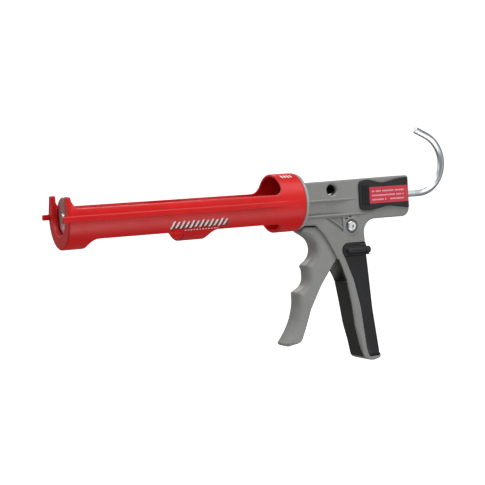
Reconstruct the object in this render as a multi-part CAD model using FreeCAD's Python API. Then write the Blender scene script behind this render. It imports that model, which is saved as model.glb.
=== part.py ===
import FreeCAD, Part
import math
import os

# Drip-free cradle caulking gun with a hexagonal plunger rod.
# Frame, in millimetres: X runs along the barrel with the nose towards -X, Z is up,
# -Y is the user's left. The origin is on the barrel axis at the rear face of the cradle.

V = FreeCAD.Vector

# Cartridge and cradle
cartridge_r = 24.6
cartridge_play = 0.7
cradle_wall = 2.7
cradle_length = 235.0
front_plate = 4.0
rear_wall = 4.0
slot_r = 16.4
slot_z = 1.4
horn_top = 19.6
horn_tip_y = 24.2
horn_slope = 3.8
top_edge = 9.2
bottom_edge = -18.7
ring_length = 24.0
front_band = 20.5
middle_band_from = -124.0
middle_band_to = -98.5
window_corner = 8.0
gap_corner_front = 9.0
gap_corner_rear = 4.5
cradle_turn = 2.2
rail_height = 5.0
rail_z = 0.2
rail_proud = 1.8
peg_length = 5.6
rail_root = 0.8
rail_taper_from = 48.6
rail_taper_to = 11.3
cradle_edge = 1.4

# Printed marks on the cradle's left side
marks_from = -139.0
marks_to = -81.0
marks_top_angle = 15.0
marks_bottom_angle = 41.0
marks_thick = 0.25

# Plunger rod, piston and ladder hook
rod_flats = 6.35
rod_slide_fit = 0.08
rod_way_play = 0.7
hook_r = 30.5
hook_from = 146.5
hook_sweep = 154.0
hook_tail = 15.0
piston_r = 18.7
piston_thick = 1.6
piston_gap = 0.6
piston_dish_r = 9.0
piston_dish = 2.2
piston_nut_flats = 13.0
piston_nut_thick = 4.5
piston_stud_r = 2.5
piston_screw_head_r = 4.6
piston_screw_head = 1.7

# Swivel between cradle and housing
swivel_play = 0.3
swivel_fit = 0.08
swivel_hub_r = 13.0
collar_r = 27.2
collar_thick = 3.3
retainer_r = 19.0
retainer_thick = 3.0
retainer_pitch_r = 9.6
screw_r = 1.5
screw_head_r = 2.7
screw_head = 1.6
screw_slot = 0.9
screw_slot_deep = 0.8
screw_cross = 1.7
blind_depth = 9.5
screw_fit = 0.05
front_bush_r = 6.0
bush_fit = 0.05

# Housing, made as two shells that meet at Y = 0
half_width = 13.5
shell_wall = 2.5
edge_round = 1.6
front_wall = 5.4
housing_rear = 125.8
top_front = 17.4
top_rear = 19.2
chin_z = -23.3
chin_rear = 11.8
tail_bottom = -21.6
tail_corner = 8.5
web_x = 70.0
web_corner = 13.0
handle_bottom = -160.3
handle_hollow_half = 8.6
tail_hollow_half = 8.5
chamber_top = 14.8
chamber_rear = 64.0
channel_top = -1.3
channel_bottom = -14.6
channel_rear = 63.0
channel_depth = 0.9
bead_height = 1.5
bead_proud = 0.7

# Trigger and its pivot
pivot_x = 56.6
pivot_z = -27.1
pivot_r = 3.2
pivot_fit = 0.06
pivot_boss_r = 7.2
pivot_recess_r = 6.7
pivot_recess = 1.2
bolt_head_r = 5.0
bolt_head = 3.0
bolt_socket = 1.5
bolt_socket_flats = 3.6
nut_flats = 10.0
nut_thick = 3.0
trigger_half_width = 10.5
hub_half_width = 7.2
hub_r = 8.0
trigger_bush_r = 4.6
trigger_edge = 1.8
trigger_wall = 2.8
trigger_rib = 2.4
roller_r = 3.0
roller_pin_r = 1.8
roller_side_play = 0.15
roller_dx = -3.55
roller_dz = 9.6
roller_gap = 0.25
ear_thick = 2.4

# Drive plates, springs and catch
plate_thick = 2.8
plate_gap = 0.3
plate_side_play = 0.3
plate_tail_play = 0.5
plate_top = 9.0
plate_shoulder = -10.6
plate_bottom = -20.6
spring_side_play = 0.9
spring_wire_r = 0.7
catch_wire_r = 0.56
spring_end_gap = 0.3
catch_x = 116.6
catch_thick = 2.0
catch_half_width = 6.8
catch_pin_z = 10.0
catch_pin_r = 1.25
catch_bottom = -13.0
catch_tab = 2.4
catch_tab_half_width = 5.0
catch_tab_out = 3.0
catch_room = 6.6
catch_play = 0.7
catch_side_play = 0.8
catch_swing_play = 2.4
rear_wall_thick = 2.8
rear_bush_r = 5.6

# Spout cutter
cutter_x = 36.4
cutter_z = 9.2
cutter_r = 5.2
cutter_chamfer = 0.9
cutter_boss_r = 7.4
blade_thick = 1.0
blade_gap = 0.3
rivet_r = 1.6
rivet_end = 2.6

# Grips on the handle
front_grip_thick = 2.5
foot_reach = 6.0
grip_proud = 0.35
grip_thick = 1.8
grip_round = 5.5
grip_foot = -156.8
back_x = 67.0
back_lean = 0.05
band_proud = 1.0
band_top = -43.4
band_bottom = -56.0
slot_bottom = -82.0
punch_z = -51.0
punch_out = 1.7
punch_inset = 0.5
punch_knob_gap = 0.3
punch_boss_x = 51.5
punch_pin_x = 55.0
punch_point = 3.2
punch_seat = 2.0
punch_boss_r = 3.3
punch_pin_r = 1.25
punch_knob_r = 3.5
punch_knob = 5.0
punch_fit = 0.06

# Finishing tool on the left of the tail, thumb pad on the right
tool_front = 66.6
tool_thick = 1.6
tool_gap = 0.15
tongue_z = 1.6
tongue_half = 3.4
tongue_deep = 2.0
tongue_play = 0.2
tool_short = 1.3
thumb_ribs = 5
thumb_rib_pitch = 1.9
thumb_rib_gap = 0.7
label_thick = 0.25
label_front = 78.2
label_low = -6.7
label_high = 9.5

# Worked out from the sizes above
cradle_inner_r = cartridge_r + cartridge_play
cradle_outer_r = cradle_inner_r + cradle_wall
rod_corner_r = rod_flats / math.sqrt(3)
rod_hole_r = rod_corner_r + rod_slide_fit
plate_inner_x = -cradle_length + front_plate
piston_front_x = plate_inner_x + piston_gap
housing_front = swivel_play + collar_thick
inner_half = half_width - shell_wall
tool_rear = housing_rear - tool_short
front_wall_rear = housing_front + front_wall
roller_x = pivot_x + roller_dx
roller_z = pivot_z + roller_dz
plates_rear = roller_x - roller_r - roller_gap
plates_front = plates_rear - 2 * plate_thick - plate_gap
blade_y = -hub_half_width - blade_thick
plate_half_width = hub_half_width - plate_side_play
plate_tail_half_width = hub_half_width - ear_thick - plate_tail_play
spring_r = hub_half_width - spring_side_play - spring_wire_r
punch_y = -half_width - punch_out
catch_room_front = catch_x - catch_thick / 2 - catch_room
catch_room_rear = housing_rear - rear_wall_thick
post_r = screw_head_r + 0.8
grip_core_half = half_width + grip_proud - grip_thick
punch_seat_x = web_x - punch_inset


def outline(points):
    """Closed wire in the XZ plane from (x, z, corner radius), corners rounded by arcs."""
    count = len(points)
    ends = []
    for i in range(count):
        here = V(points[i][0], 0, points[i][1])
        before = V(points[i - 1][0], 0, points[i - 1][1])
        after = V(points[(i + 1) % count][0], 0, points[(i + 1) % count][1])
        radius = points[i][2]
        back = (before - here).normalize()
        on = (after - here).normalize()
        if radius == 0:
            ends.append((here, None, here))
            continue
        half = back.getAngle(on) / 2
        reach = radius / math.tan(half)
        bisector = (back + on).normalize()
        middle = here + bisector * (radius / math.sin(half) - radius)
        ends.append((here + back * reach, middle, here + on * reach))
    edges = []
    for i in range(count):
        start, middle, end = ends[i]
        following = ends[(i + 1) % count][0]
        if middle is not None:
            edges.append(Part.Arc(start, middle, end).toShape())
        if (following - end).Length > 1e-6:
            edges.append(Part.LineSegment(end, following).toShape())
    return Part.Wire(edges)


def slab(points, y_from, y_to):
    """Outline in XZ made solid between two Y planes."""
    face = Part.Face(outline(points))
    face.translate(V(0, y_from, 0))
    return face.extrude(V(0, y_to - y_from, 0))


def box(x_from, x_to, y_from, y_to, z_from, z_to):
    corner = V(x_from, y_from, z_from)
    return Part.makeBox(x_to - x_from, y_to - y_from, z_to - z_from, corner)


def round_x(x_from, x_to, radius, y=0.0, z=0.0):
    return Part.makeCylinder(radius, x_to - x_from, V(x_from, y, z), V(1, 0, 0))


def round_y(y_from, y_to, radius, x, z):
    return Part.makeCylinder(radius, y_to - y_from, V(x, y_from, z), V(0, 1, 0))


def hex_x(x_from, x_to, flats, turn=0.0):
    """Hexagonal bar along X with corners up and down, or turned about X."""
    corner_r = flats / math.sqrt(3)
    corners = []
    for i in range(7):
        angle = math.radians(90 + 60 * i + turn)
        corners.append(V(x_from, corner_r * math.cos(angle), corner_r * math.sin(angle)))
    face = Part.Face(Part.makePolygon(corners))
    return face.extrude(V(x_to - x_from, 0, 0))


def coil_x(x_from, x_to, radius, wire_r, turns):
    """Round-wire compression spring along X."""
    height = x_to - x_from - 2 * wire_r
    helix = Part.makeHelix(height / turns, height, radius)
    profile = Part.Wire([Part.makeCircle(wire_r, V(radius, 0, 0), V(0, 1, 0))])
    spring = Part.Wire(helix.Edges).makePipeShell([profile], True, True)
    spring.rotate(V(0, 0, 0), V(0, 1, 0), 90)
    spring.translate(V(x_from + wire_r, 0, 0))
    return spring


def circles(solid, keep=lambda centre: True):
    """Circular edges whose centre passes the test."""
    return [e for e in solid.Edges if isinstance(e.Curve, Part.Circle) and keep(e.Curve.Center)]


def side_edges(solid, half, keep):
    """Edges that lie in the planes Y = +half and Y = -half and pass the test."""
    found = []
    for edge in solid.Edges:
        middle = edge.valueAt((edge.FirstParameter + edge.LastParameter) / 2)
        if abs(edge.BoundBox.YLength) < 1e-4 and abs(abs(middle.y) - half) < 1e-4 and keep(middle):
            found.append(edge)
    return found


# ---- Cradle body ----

def make_cradle():
    body = round_x(-cradle_length, 0, cradle_outer_r)
    rims = circles(body)
    body = body.makeFillet(cradle_edge, rims)
    horn_y = cradle_outer_r - 0.2
    for side in (1, -1):
        corners = [V(-cradle_length, 0, 0), V(-cradle_length, side * horn_y, 0)]
        corners.append(V(-cradle_length, side * horn_y, 4.5))
        corners.append(V(-cradle_length, side * horn_tip_y, horn_top))
        corners.append(V(-cradle_length, 0, horn_top))
        corners.append(corners[0])
        horn = Part.Face(Part.makePolygon(corners)).extrude(V(front_plate, 0, 0))
        body = body.fuse(horn)
    inside = round_x(plate_inner_x, -rear_wall, cradle_inner_r)
    body = body.cut(inside)
    far = cradle_outer_r + 10
    top = [(-cradle_length - 10, far, 0), (-cradle_length - 10, horn_top, 0)]
    top.append((plate_inner_x, horn_top, 0.8))
    top.append((plate_inner_x + 1.0, top_edge + 5.0, 4.0))
    top.append((plate_inner_x + horn_slope, top_edge, 3.0))
    top.append((-ring_length, top_edge, window_corner))
    top.append((-ring_length, far, 0))
    body = body.cut(slab(top, -far, far))
    gaps = [(-cradle_length + front_band, middle_band_from), (middle_band_to, -ring_length)]
    for start, end in gaps:
        gap = [(start, -far, 0), (start, bottom_edge, gap_corner_front)]
        gap.append((end, bottom_edge, gap_corner_rear))
        gap.append((end, -far, 0))
        body = body.cut(slab(gap, -far, far))
    mouth = round_x(-cradle_length - 1, plate_inner_x + 1, slot_r, 0, slot_z)
    mouth = mouth.fuse(box(-cradle_length - 1, plate_inner_x + 1, -slot_r, slot_r, slot_z, far))
    body = body.cut(mouth)
    body = body.cut(round_x(-rear_wall - 1, 1, swivel_hub_r + swivel_fit))
    outer = cradle_outer_r + rail_proud
    root = cradle_inner_r + rail_root
    for side in (1, -1):
        front = -cradle_length - peg_length
        plan = [V(front, side * root, 0), V(front, side * outer, 0)]
        plan.append(V(-rail_taper_from, side * outer, 0))
        plan.append(V(-rail_taper_to, side * (cradle_outer_r - 0.3), 0))
        plan.append(V(-rail_taper_to, side * root, 0))
        plan.append(plan[0])
        rail = Part.Face(Part.makePolygon(plan)).extrude(V(0, 0, rail_height))
        rail.translate(V(0, 0, rail_z - rail_height / 2))
        body = body.fuse(rail)
    body = body.removeSplitter()
    body.rotate(V(0, 0, 0), V(1, 0, 0), cradle_turn)
    return body


def make_cradle_marks():
    patch = round_x(marks_from, marks_to, cradle_outer_r + marks_thick)
    patch = patch.cut(round_x(marks_from - 1, marks_to + 1, cradle_outer_r))
    reach = 3 * cradle_outer_r
    low = math.radians(180 + marks_bottom_angle)
    high = math.radians(180 + marks_top_angle)
    corners = [V(marks_from, 0, 0)]
    corners.append(V(marks_from, reach * math.cos(low), reach * math.sin(low)))
    corners.append(V(marks_from, reach * math.cos(high), reach * math.sin(high)))
    corners.append(corners[0])
    wedge = Part.Face(Part.makePolygon(corners)).extrude(V(marks_to - marks_from, 0, 0))
    marks = patch.common(wedge)
    marks.rotate(V(0, 0, 0), V(1, 0, 0), cradle_turn)
    return marks


# ---- Plunger rod body ----

def make_plunger_rod():
    stem_x = piston_front_x + piston_thick
    stem = round_x(piston_front_x, stem_x + 4, piston_stud_r)
    bar = hex_x(stem_x, hook_from, rod_flats)
    centre = V(hook_from, 0, hook_r)
    section = hex_x(hook_from, hook_from + hook_tail, rod_flats)
    start = [f for f in section.Faces if abs(f.CenterOfMass.x - hook_from) < 1e-6][0]
    bend = start.revolve(centre, V(0, -1, 0), hook_sweep)
    section.rotate(centre, V(0, -1, 0), hook_sweep)
    return bar.fuse([stem, bend, section]).removeSplitter()


def make_piston_plate():
    plate = round_x(piston_front_x, piston_front_x + piston_thick, piston_r)
    plate = plate.makeFillet(piston_thick * 0.4, circles(plate))
    return plate.cut(round_x(piston_front_x - 1, piston_front_x + piston_thick + 1, piston_stud_r))


def make_piston_cone():
    start = piston_front_x + piston_thick
    cone = Part.makeCone(piston_r * 0.75, piston_dish_r, piston_dish, V(start, 0, 0), V(1, 0, 0))
    return cone.cut(hex_x(start - 1, start + piston_dish + 1, rod_flats + 2 * screw_fit))


def make_piston_nut():
    start = piston_front_x + piston_thick + piston_dish
    nut = hex_x(start, start + piston_nut_thick, piston_nut_flats, 30)
    return nut.cut(hex_x(start - 1, start + piston_nut_thick + 1, rod_flats + 2 * screw_fit))


def make_piston_screw():
    head = round_x(piston_front_x - piston_screw_head, piston_front_x, piston_screw_head_r)
    rims = circles(head, lambda c: c.x < piston_front_x - 1)
    head = head.makeFillet(piston_screw_head * 0.6, rims)
    front = piston_front_x - piston_screw_head
    reach = piston_screw_head_r + 1
    return head.cut(box(front - 1, front + screw_slot_deep, -screw_slot / 2, screw_slot / 2, -reach, reach))


# ---- Swivel ----

def retainer_places():
    places = []
    for i in range(3):
        angle = math.radians(90 + 120 * i)
        places.append((retainer_pitch_r * math.cos(angle), retainer_pitch_r * math.sin(angle)))
    return places


def make_swivel_collar():
    flange = round_x(swivel_play, housing_front, collar_r)
    flange = flange.makeChamfer(0.8, circles(flange))
    hub = round_x(-rear_wall - swivel_play, swivel_play + 1, swivel_hub_r)
    collar = flange.fuse(hub).removeSplitter()
    collar = collar.cut(round_x(-rear_wall - 5, housing_front + 1, front_bush_r + bush_fit))
    for y, z in retainer_places():
        collar = collar.cut(round_x(-rear_wall - 5, housing_front + 1, screw_r + screw_fit, y, z))
    return collar


def make_collar_retainer():
    rear = -rear_wall - swivel_play
    ring = round_x(rear - retainer_thick, rear, retainer_r)
    ring = ring.makeChamfer(0.7, circles(ring, lambda c: c.x < rear - 1))
    ring = ring.cut(round_x(rear - 5, rear + 1, front_bush_r + bush_fit))
    for y, z in retainer_places():
        ring = ring.cut(round_x(rear - 5, rear + 1, screw_r + screw_fit, y, z))
    return ring


def make_retainer_screws():
    face = -rear_wall - swivel_play - retainer_thick
    screws = []
    for y, z in retainer_places():
        head = round_x(face - screw_head, face, screw_head_r, y, z)
        floor = face - screw_head + screw_slot_deep
        reach = screw_head_r + 1
        half = screw_slot / 2
        head = head.cut(box(face - screw_head - 1, floor, y - half, y + half, z - reach, z + reach))
        shank = round_x(face, front_wall_rear - 1, screw_r, y, z)
        screws.append(head.fuse(shank).removeSplitter())
    return Part.Compound(screws)


def make_front_bush():
    front = -rear_wall - swivel_play - retainer_thick
    bush = round_x(front, front_wall_rear, front_bush_r)
    return bush.cut(round_x(front - 1, front_wall_rear + 1, rod_hole_r))


def make_rear_bush():
    bush = round_x(catch_room_rear, housing_rear, rear_bush_r)
    return bush.cut(round_x(catch_room_rear - 1, housing_rear + 1, rod_hole_r))


# ---- Housing ----

def handle_front(inset=0.0):
    """Front face of the handle from its top to its foot."""
    points = [(39.2, -58.8, 0), (46.6, -79.0, 60), (50.3, -101.0, 60)]
    points += [(53.6, -124.0, 80), (60.4, -150.4, 40), (62.6, -157.4, 5)]
    return [(x + inset, z, r) for x, z, r in points]


def handle_back(inset=0.0):
    """Rear face of the handle from its foot to the web behind the pivot."""
    points = [(82.0, -151.0, 30), (77.0, -110.0, 150), (74.1, -66.0, 150), (web_x + 2.0, -44.0, 40)]
    return [(x - inset, z, r) for x, z, r in points]


def housing_profile():
    """Side view of the whole housing, anticlockwise from the chin."""
    points = [(housing_front, chin_z, 0.8), (17.0, chin_z - 0.6, 4.0)]
    points += [(26.2, -34.6, 40.0), (33.6, -47.2, 40.0)]
    points += handle_front()
    points.append((73.0, handle_bottom - 1.2, 14.0))
    points.append((82.7, handle_bottom + 1.4, 2.4))
    points += handle_back()
    points.append((web_x, tail_bottom, web_corner))
    points.append((housing_rear, tail_bottom, tail_corner))
    points.append((housing_rear, top_rear, 1.8))
    points.append((housing_front, top_front, 0.8))
    return points


def rear_grip_profile(inset=0.0):
    """Side view of the black grip that wraps the back of the handle."""
    points = [(41.4, band_top, 6.5), (47.6, -57.6, 12.0), (56.3, -80.5, 60.0), (62.2, -107.0, 80.0)]
    points.append((66.5, -147.0, 20.0))
    points.append((69.2, grip_foot, 1.5))
    points.append((82.0 - inset, grip_foot, 0))
    points += handle_back(inset)[:-1]
    points.append((web_x + 2.2 - inset, band_top, 0))
    return points


def on_back(middle):
    """True for an edge of the grip's back, which leans rearwards on its way down."""
    lean = back_lean * (band_top - middle.z)
    return middle.x > back_x + lean and grip_foot + 0.7 < middle.z < band_top - 0.5


def grip_body(half, rear_inset, rounding, grow=0.0):
    """Handle grip block whose rear edges are rounded."""
    points = rear_grip_profile(rear_inset - grow)
    block = slab(points, -half, half)
    edges = side_edges(block, half, on_back)
    return block.makeFillet(rounding, edges)


def screw_places():
    """X, Z and the Y of the wall that the head is sunk into. The last one is under the grip."""
    bare = [(14.4, 11.0), (13.4, -13.6), (61.4, -9.8), (118.4, -17.0), (64.6, -38.6)]
    places = [(x, z, half_width) for x, z in bare]
    places.append((67.0, -118.0, grip_core_half))
    return places


def chamber():
    """Room for trigger, drive plates and spring, open below towards the trigger."""
    bottom = chin_z + shell_wall
    points = [(front_wall_rear, chamber_top, 0), (front_wall_rear, bottom, 0), (chin_rear, bottom, 0)]
    points.append((chin_rear - 0.5, -34.0, 0))
    points.append((24.0, -70.0, 0))
    points.append((40.0, slot_bottom, 0))
    points.append((58.0, slot_bottom, 3))
    points.append((66.0, -58.0, 3))
    points.append((web_x - 3.2, -42.0, 3))
    points.append((web_x - 3.2, tail_bottom - 3, 3))
    points.append((chamber_rear, tail_bottom + 1, 3))
    points.append((chamber_rear, chamber_top, 2))
    return slab(points, -inner_half, inner_half)


def handle_hollow():
    points = [(55.5, slot_bottom - 2, 2), (56.6, -104.0, 60), (60.2, -128.0, 60), (66.0, -148.0, 2)]
    points.append((75.6, -148.0, 2))
    points.append((71.6, -108.0, 60))
    points.append((68.6, -64.0, 2))
    points.append((64.0, -62.0, 2))
    return slab(points, -handle_hollow_half, handle_hollow_half)


def tail_hollow():
    """Two pockets in the tail, above and below the rod."""
    rear = catch_room_front - 4
    upper = box(chamber_rear + 5, rear, -tail_hollow_half, tail_hollow_half, 7, 14.5)
    lower = box(web_x + 3, rear, -tail_hollow_half, tail_hollow_half, -18, -7)
    return upper.fuse(lower)


def front_grip_zone(thick):
    front = handle_front(-2.0)
    back = handle_front(thick)
    points = [(x, z, 0) for x, z, _ in front[:1]]
    points += front[1:-1]
    points.append((front[-1][0], front[-1][1] - foot_reach, 0))
    points.append((back[-1][0] + 1.0, back[-1][1] - foot_reach, 0))
    points += back[-2:0:-1]
    points.append((back[0][0] + 0.6, back[0][1] + 1.0, 0))
    return points


def make_housing_block():
    """Both shells in one piece, with every outer feature that crosses the joint line."""
    block = slab(housing_profile(), -half_width, half_width)
    block = block.makeFillet(edge_round, side_edges(block, half_width, lambda m: True))
    outer = half_width + 1
    zone = slab(rear_grip_profile(-3.0), -outer, outer)
    block = block.cut(zone)
    block = block.fuse(grip_body(grip_core_half, grip_thick, grip_round - grip_thick))
    block = block.cut(slab(front_grip_zone(front_grip_thick), -outer, outer))
    for side in (1, -1):
        low = min(side * (half_width - channel_depth), side * outer)
        high = max(side * (half_width - channel_depth), side * outer)
        groove = box(housing_front - 1, channel_rear, low, high, channel_bottom, channel_top)
        block = block.cut(groove)
        root = min(side * (half_width - 0.5), side * (half_width + bead_proud))
        crest = max(side * (half_width - 0.5), side * (half_width + bead_proud))
        for z in (channel_top, channel_bottom - bead_height):
            block = block.fuse(box(housing_front, channel_rear, root, crest, z, z + bead_height))
        hollow = [(27.5, -17.6, 1.0), (47.0, -17.6, 1.0), (47.0, -32.5, 1.0)]
        block = block.cut(slab(hollow, low, high))
        block = block.cut(round_y(low - 0.3, high + 0.3, pivot_recess_r, pivot_x, pivot_z))
    return block.removeSplitter()


def make_housing_insides():
    inside = chamber().fuse([handle_hollow(), tail_hollow()])
    posts = []
    for x, z, _ in screw_places():
        posts.append(round_y(-inner_half - 1, inner_half + 1, post_r, x, z))
    for side in (-1, 1):
        low = min(side * (hub_half_width + blade_thick + blade_gap), side * (inner_half + 1))
        high = max(side * (hub_half_width + blade_thick + blade_gap), side * (inner_half + 1))
        posts.append(round_y(low, high, pivot_boss_r, pivot_x, pivot_z))
    posts.append(round_y(-inner_half - 1, blade_y - blade_gap, cutter_boss_r, cutter_x, cutter_z))
    for post in posts:
        inside = inside.cut(post)
    room_half = catch_half_width + catch_side_play
    room_low = catch_bottom - catch_swing_play
    catch = box(catch_room_front, catch_room_rear, -room_half, room_half, room_low, catch_pin_z + 3.0)
    slot_half = catch_tab_half_width + 0.5
    tab_low = catch_bottom - 1.8
    tab_high = catch_bottom + catch_tab + 0.6
    slot = box(catch_room_rear - 1, housing_rear + 1, -slot_half, slot_half, tab_low, tab_high)
    tunnel = round_x(housing_front - 1, front_wall_rear + 1, front_bush_r + bush_fit)
    rod_way = round_x(front_wall_rear, catch_room_rear, rod_corner_r + rod_way_play)
    rear_way = round_x(catch_room_rear - 1, housing_rear + 1, rear_bush_r + bush_fit)
    pin = round_y(-blind_depth, blind_depth, catch_pin_r + screw_fit, catch_x, catch_pin_z)
    bolt = round_y(-half_width - 2, half_width + 2, pivot_r + pivot_fit, pivot_x, pivot_z)
    return inside.fuse([catch, slot, tunnel, rod_way, rear_way, pin, bolt])


def make_housing_shells():
    block = make_housing_block().cut(make_housing_insides())
    for y, z in retainer_places():
        block = block.cut(round_x(housing_front - 1, front_wall_rear - 1, screw_r + screw_fit, y, z))
    for x, z, wall in screw_places():
        block = block.cut(round_y(-blind_depth, half_width + 1, screw_r + screw_fit, x, z))
        block = block.cut(round_y(wall - screw_head, half_width + 1, screw_head_r + screw_fit, x, z))
    block = block.cut(round_y(-half_width - 1, 0, cutter_r, cutter_x, cutter_z))
    depth = cutter_chamfer + 0.5
    mouth = V(cutter_x, -half_width - 0.5, cutter_z)
    block = block.cut(Part.makeCone(cutter_r + depth, cutter_r, depth, mouth, V(0, 1, 0)))
    floor = -half_width + tongue_deep + tongue_play
    low = tongue_z - tongue_half - tongue_play
    high = tongue_z + tongue_half + tongue_play
    block = block.cut(box(tool_front + 3, housing_rear + 1, -half_width - 1, floor, low, high))
    far = 400
    left = block.common(box(-far, far, -far, 0, -far, far))
    right = block.common(box(-far, far, 0, far, -far, far))
    return left, right


def make_housing_screws():
    screws = []
    for x, z, wall in screw_places():
        head = round_y(wall - screw_head, wall - 0.1, screw_head_r, x, z)
        floor = wall - screw_slot_deep
        upright = box(x - screw_slot / 2, x + screw_slot / 2, floor, wall, z - screw_cross, z + screw_cross)
        level = box(x - screw_cross, x + screw_cross, floor, wall, z - screw_slot / 2, z + screw_slot / 2)
        shank = round_y(0.1 - blind_depth, wall - screw_head, screw_r, x, z)
        screws.append(head.cut(upright).cut(level).fuse(shank).removeSplitter())
    return Part.Compound(screws)


# ---- Grips ----

def make_front_grip():
    block = slab(housing_profile(), -half_width, half_width)
    block = block.makeFillet(edge_round, side_edges(block, half_width, lambda m: True))
    strip = block.common(slab(front_grip_zone(front_grip_thick), -half_width, half_width))
    gate = box(20, 70, -inner_half, inner_half, slot_bottom, -40)
    return strip.cut(gate)


def make_rear_grip():
    outer = grip_body(half_width + grip_proud, 0.0, grip_round)
    core = grip_body(grip_core_half, grip_thick, grip_round - grip_thick)
    lower = box(20, 100, -40, 40, -200, band_bottom)
    return outer.cut(core).common(lower)


def make_grip_band():
    outer = grip_body(half_width + band_proud, 0.0, grip_round, band_proud - grip_proud)
    core = grip_body(grip_core_half, grip_thick, grip_round - grip_thick)
    upper = box(20, 100, -40, 40, band_bottom, 0)
    band = outer.cut(core).common(upper)
    boss = round_x(punch_boss_x, punch_seat_x, punch_boss_r, punch_y, punch_z)
    tip = Part.makeSphere(punch_boss_r, V(punch_boss_x, punch_y, punch_z))
    boss = boss.fuse(tip).cut(box(0, 200, -half_width + 0.6, 40, -200, 0))
    band = band.fuse(boss).removeSplitter()
    knob_room = punch_knob_r + punch_knob_gap
    band = band.cut(round_x(punch_seat_x, punch_seat_x + 20, knob_room, punch_y, punch_z))
    bore_r = punch_pin_r + punch_fit
    return band.cut(round_x(punch_boss_x - 0.5, punch_seat_x + 1, bore_r, punch_y, punch_z))


def make_punch_pin():
    shaft = round_x(punch_pin_x, punch_seat_x + punch_seat, punch_pin_r, punch_y, punch_z)
    start = V(punch_pin_x - punch_point, punch_y, punch_z)
    point = Part.makeCone(0.15, punch_pin_r, punch_point, start, V(1, 0, 0))
    return shaft.fuse(point).removeSplitter()


def make_punch_knob():
    front = punch_seat_x + punch_knob_gap
    knob = round_x(front, front + punch_knob, punch_knob_r, punch_y, punch_z)
    knob = knob.makeFillet(1.1, circles(knob))
    return knob.cut(round_x(front - 1, punch_seat_x + punch_seat, punch_pin_r, punch_y, punch_z))


# ---- Trigger body ----

def trigger_profile():
    """Side view: two finger hollows in front, hub behind, ears for the roller on top."""
    points = [(4.6, -24.4, 0.8), (2.7, -29.0, 1.5), (15.6, -38.2, 14.0), (18.6, -52.6, 13.0)]
    points.append((5.6, -62.0, 2.2))
    points.append((7.6, -67.0, 6.0))
    points.append((7.6, -80.2, 11.0))
    points.append((-5.0, -86.8, 2.2))
    points.append((-4.8, -99.0, 40.0))
    points.append((-9.6, -114.5, 40.0))
    points.append((-15.6, -124.6, 30.0))
    points.append((-24.0, -135.4, 1.6))
    points.append((-16.6, -138.0, 5.0))
    points.append((-4.4, -134.8, 9.0))
    points.append((2.4, -119.5, 30.0))
    points.append((8.2, -104.2, 40.0))
    points.append((21.4, -81.6, 60.0))
    points.append((39.6, -58.2, 1.5))
    points.append((49.0, -40.0, 6.0))
    points.append((pivot_x - hub_r * 0.3, pivot_z - hub_r, 5.0))
    points.append((pivot_x + hub_r, pivot_z - hub_r, hub_r - 0.2))
    points.append((pivot_x + hub_r, pivot_z + hub_r, hub_r - 0.8))
    points.append((roller_x + roller_r + 1.2, pivot_z + hub_r, 0))
    points.append((roller_x + roller_r + 1.2, roller_z + roller_r + 0.9, 2.5))
    points.append((roller_x - roller_r - 0.6, roller_z + roller_r + 0.9, 2.5))
    points.append((roller_x - roller_r - 0.6, chin_z - 0.2, 0.5))
    points.append((36.0, chin_z - 0.6, 2.0))
    points.append((30.0, -26.0, 2.0))
    points.append((17.5, -24.8, 2.0))
    return points


def make_trigger():
    solid = slab(trigger_profile(), -trigger_half_width, trigger_half_width)
    edge_zone = side_edges(solid, trigger_half_width, lambda m: m.x < 36 and m.z < -26)
    solid = solid.makeFillet(trigger_edge, edge_zone)
    cheek = [(28, 0, 0), (80, 0, 0), (80, -46, 0), (46, -46, 2), (28, -29, 2)]
    for side in (1, -1):
        low = min(side * hub_half_width, side * (trigger_half_width + 1))
        high = max(side * hub_half_width, side * (trigger_half_width + 1))
        solid = solid.cut(slab(cheek, low, high))
    gap_half = hub_half_width - ear_thick
    gap_floor = pivot_z + trigger_bush_r + 1.2
    solid = solid.cut(box(roller_x - 12, roller_x + roller_r + 0.4, -gap_half, gap_half, gap_floor, 0))
    solid = solid.cut(round_y(-30, 30, trigger_bush_r + screw_fit, pivot_x, pivot_z))
    solid = solid.cut(round_y(-30, 30, roller_pin_r + screw_fit, roller_x, roller_z))
    channel = [(7.0, -92.0, 3), (0.5, -101.0, 10), (-3.6, -113.0, 10), (-9.4, -124.0, 3), (-4.0, -122.0, 3)]
    channel += [(30.0, -122.0, 0), (60.0, -70.0, 0), (24.0, -70.0, 3)]
    hollow_half = trigger_half_width - trigger_wall
    hollow = slab(channel, -hollow_half, hollow_half)
    for z in (-84.0, -103.0):
        hollow = hollow.cut(box(-40, 60, -20, 20, z - trigger_rib / 2, z + trigger_rib / 2))
    solid = solid.cut(hollow)
    for x, z in blade_rivet_places():
        solid = solid.cut(round_y(-hub_half_width - 1, 0.1 - rivet_end, rivet_r + screw_fit, x, z))
    return solid


def blade_rivet_places():
    return [(pivot_x - 8.2, pivot_z - 1.4), (pivot_x - 6.0, pivot_z - 7.0)]


def make_trigger_bush():
    length = hub_half_width + 0.1
    bush = round_y(-length, length, trigger_bush_r, pivot_x, pivot_z)
    return bush.cut(round_y(-length - 1, length + 1, pivot_r + pivot_fit, pivot_x, pivot_z))


def make_drive_roller():
    gap_half = hub_half_width - ear_thick - roller_side_play
    wheel = round_y(-gap_half, gap_half, roller_r, roller_x, roller_z)
    pin = round_y(-hub_half_width, hub_half_width, roller_pin_r, roller_x, roller_z)
    return wheel.fuse(pin).removeSplitter()


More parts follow.
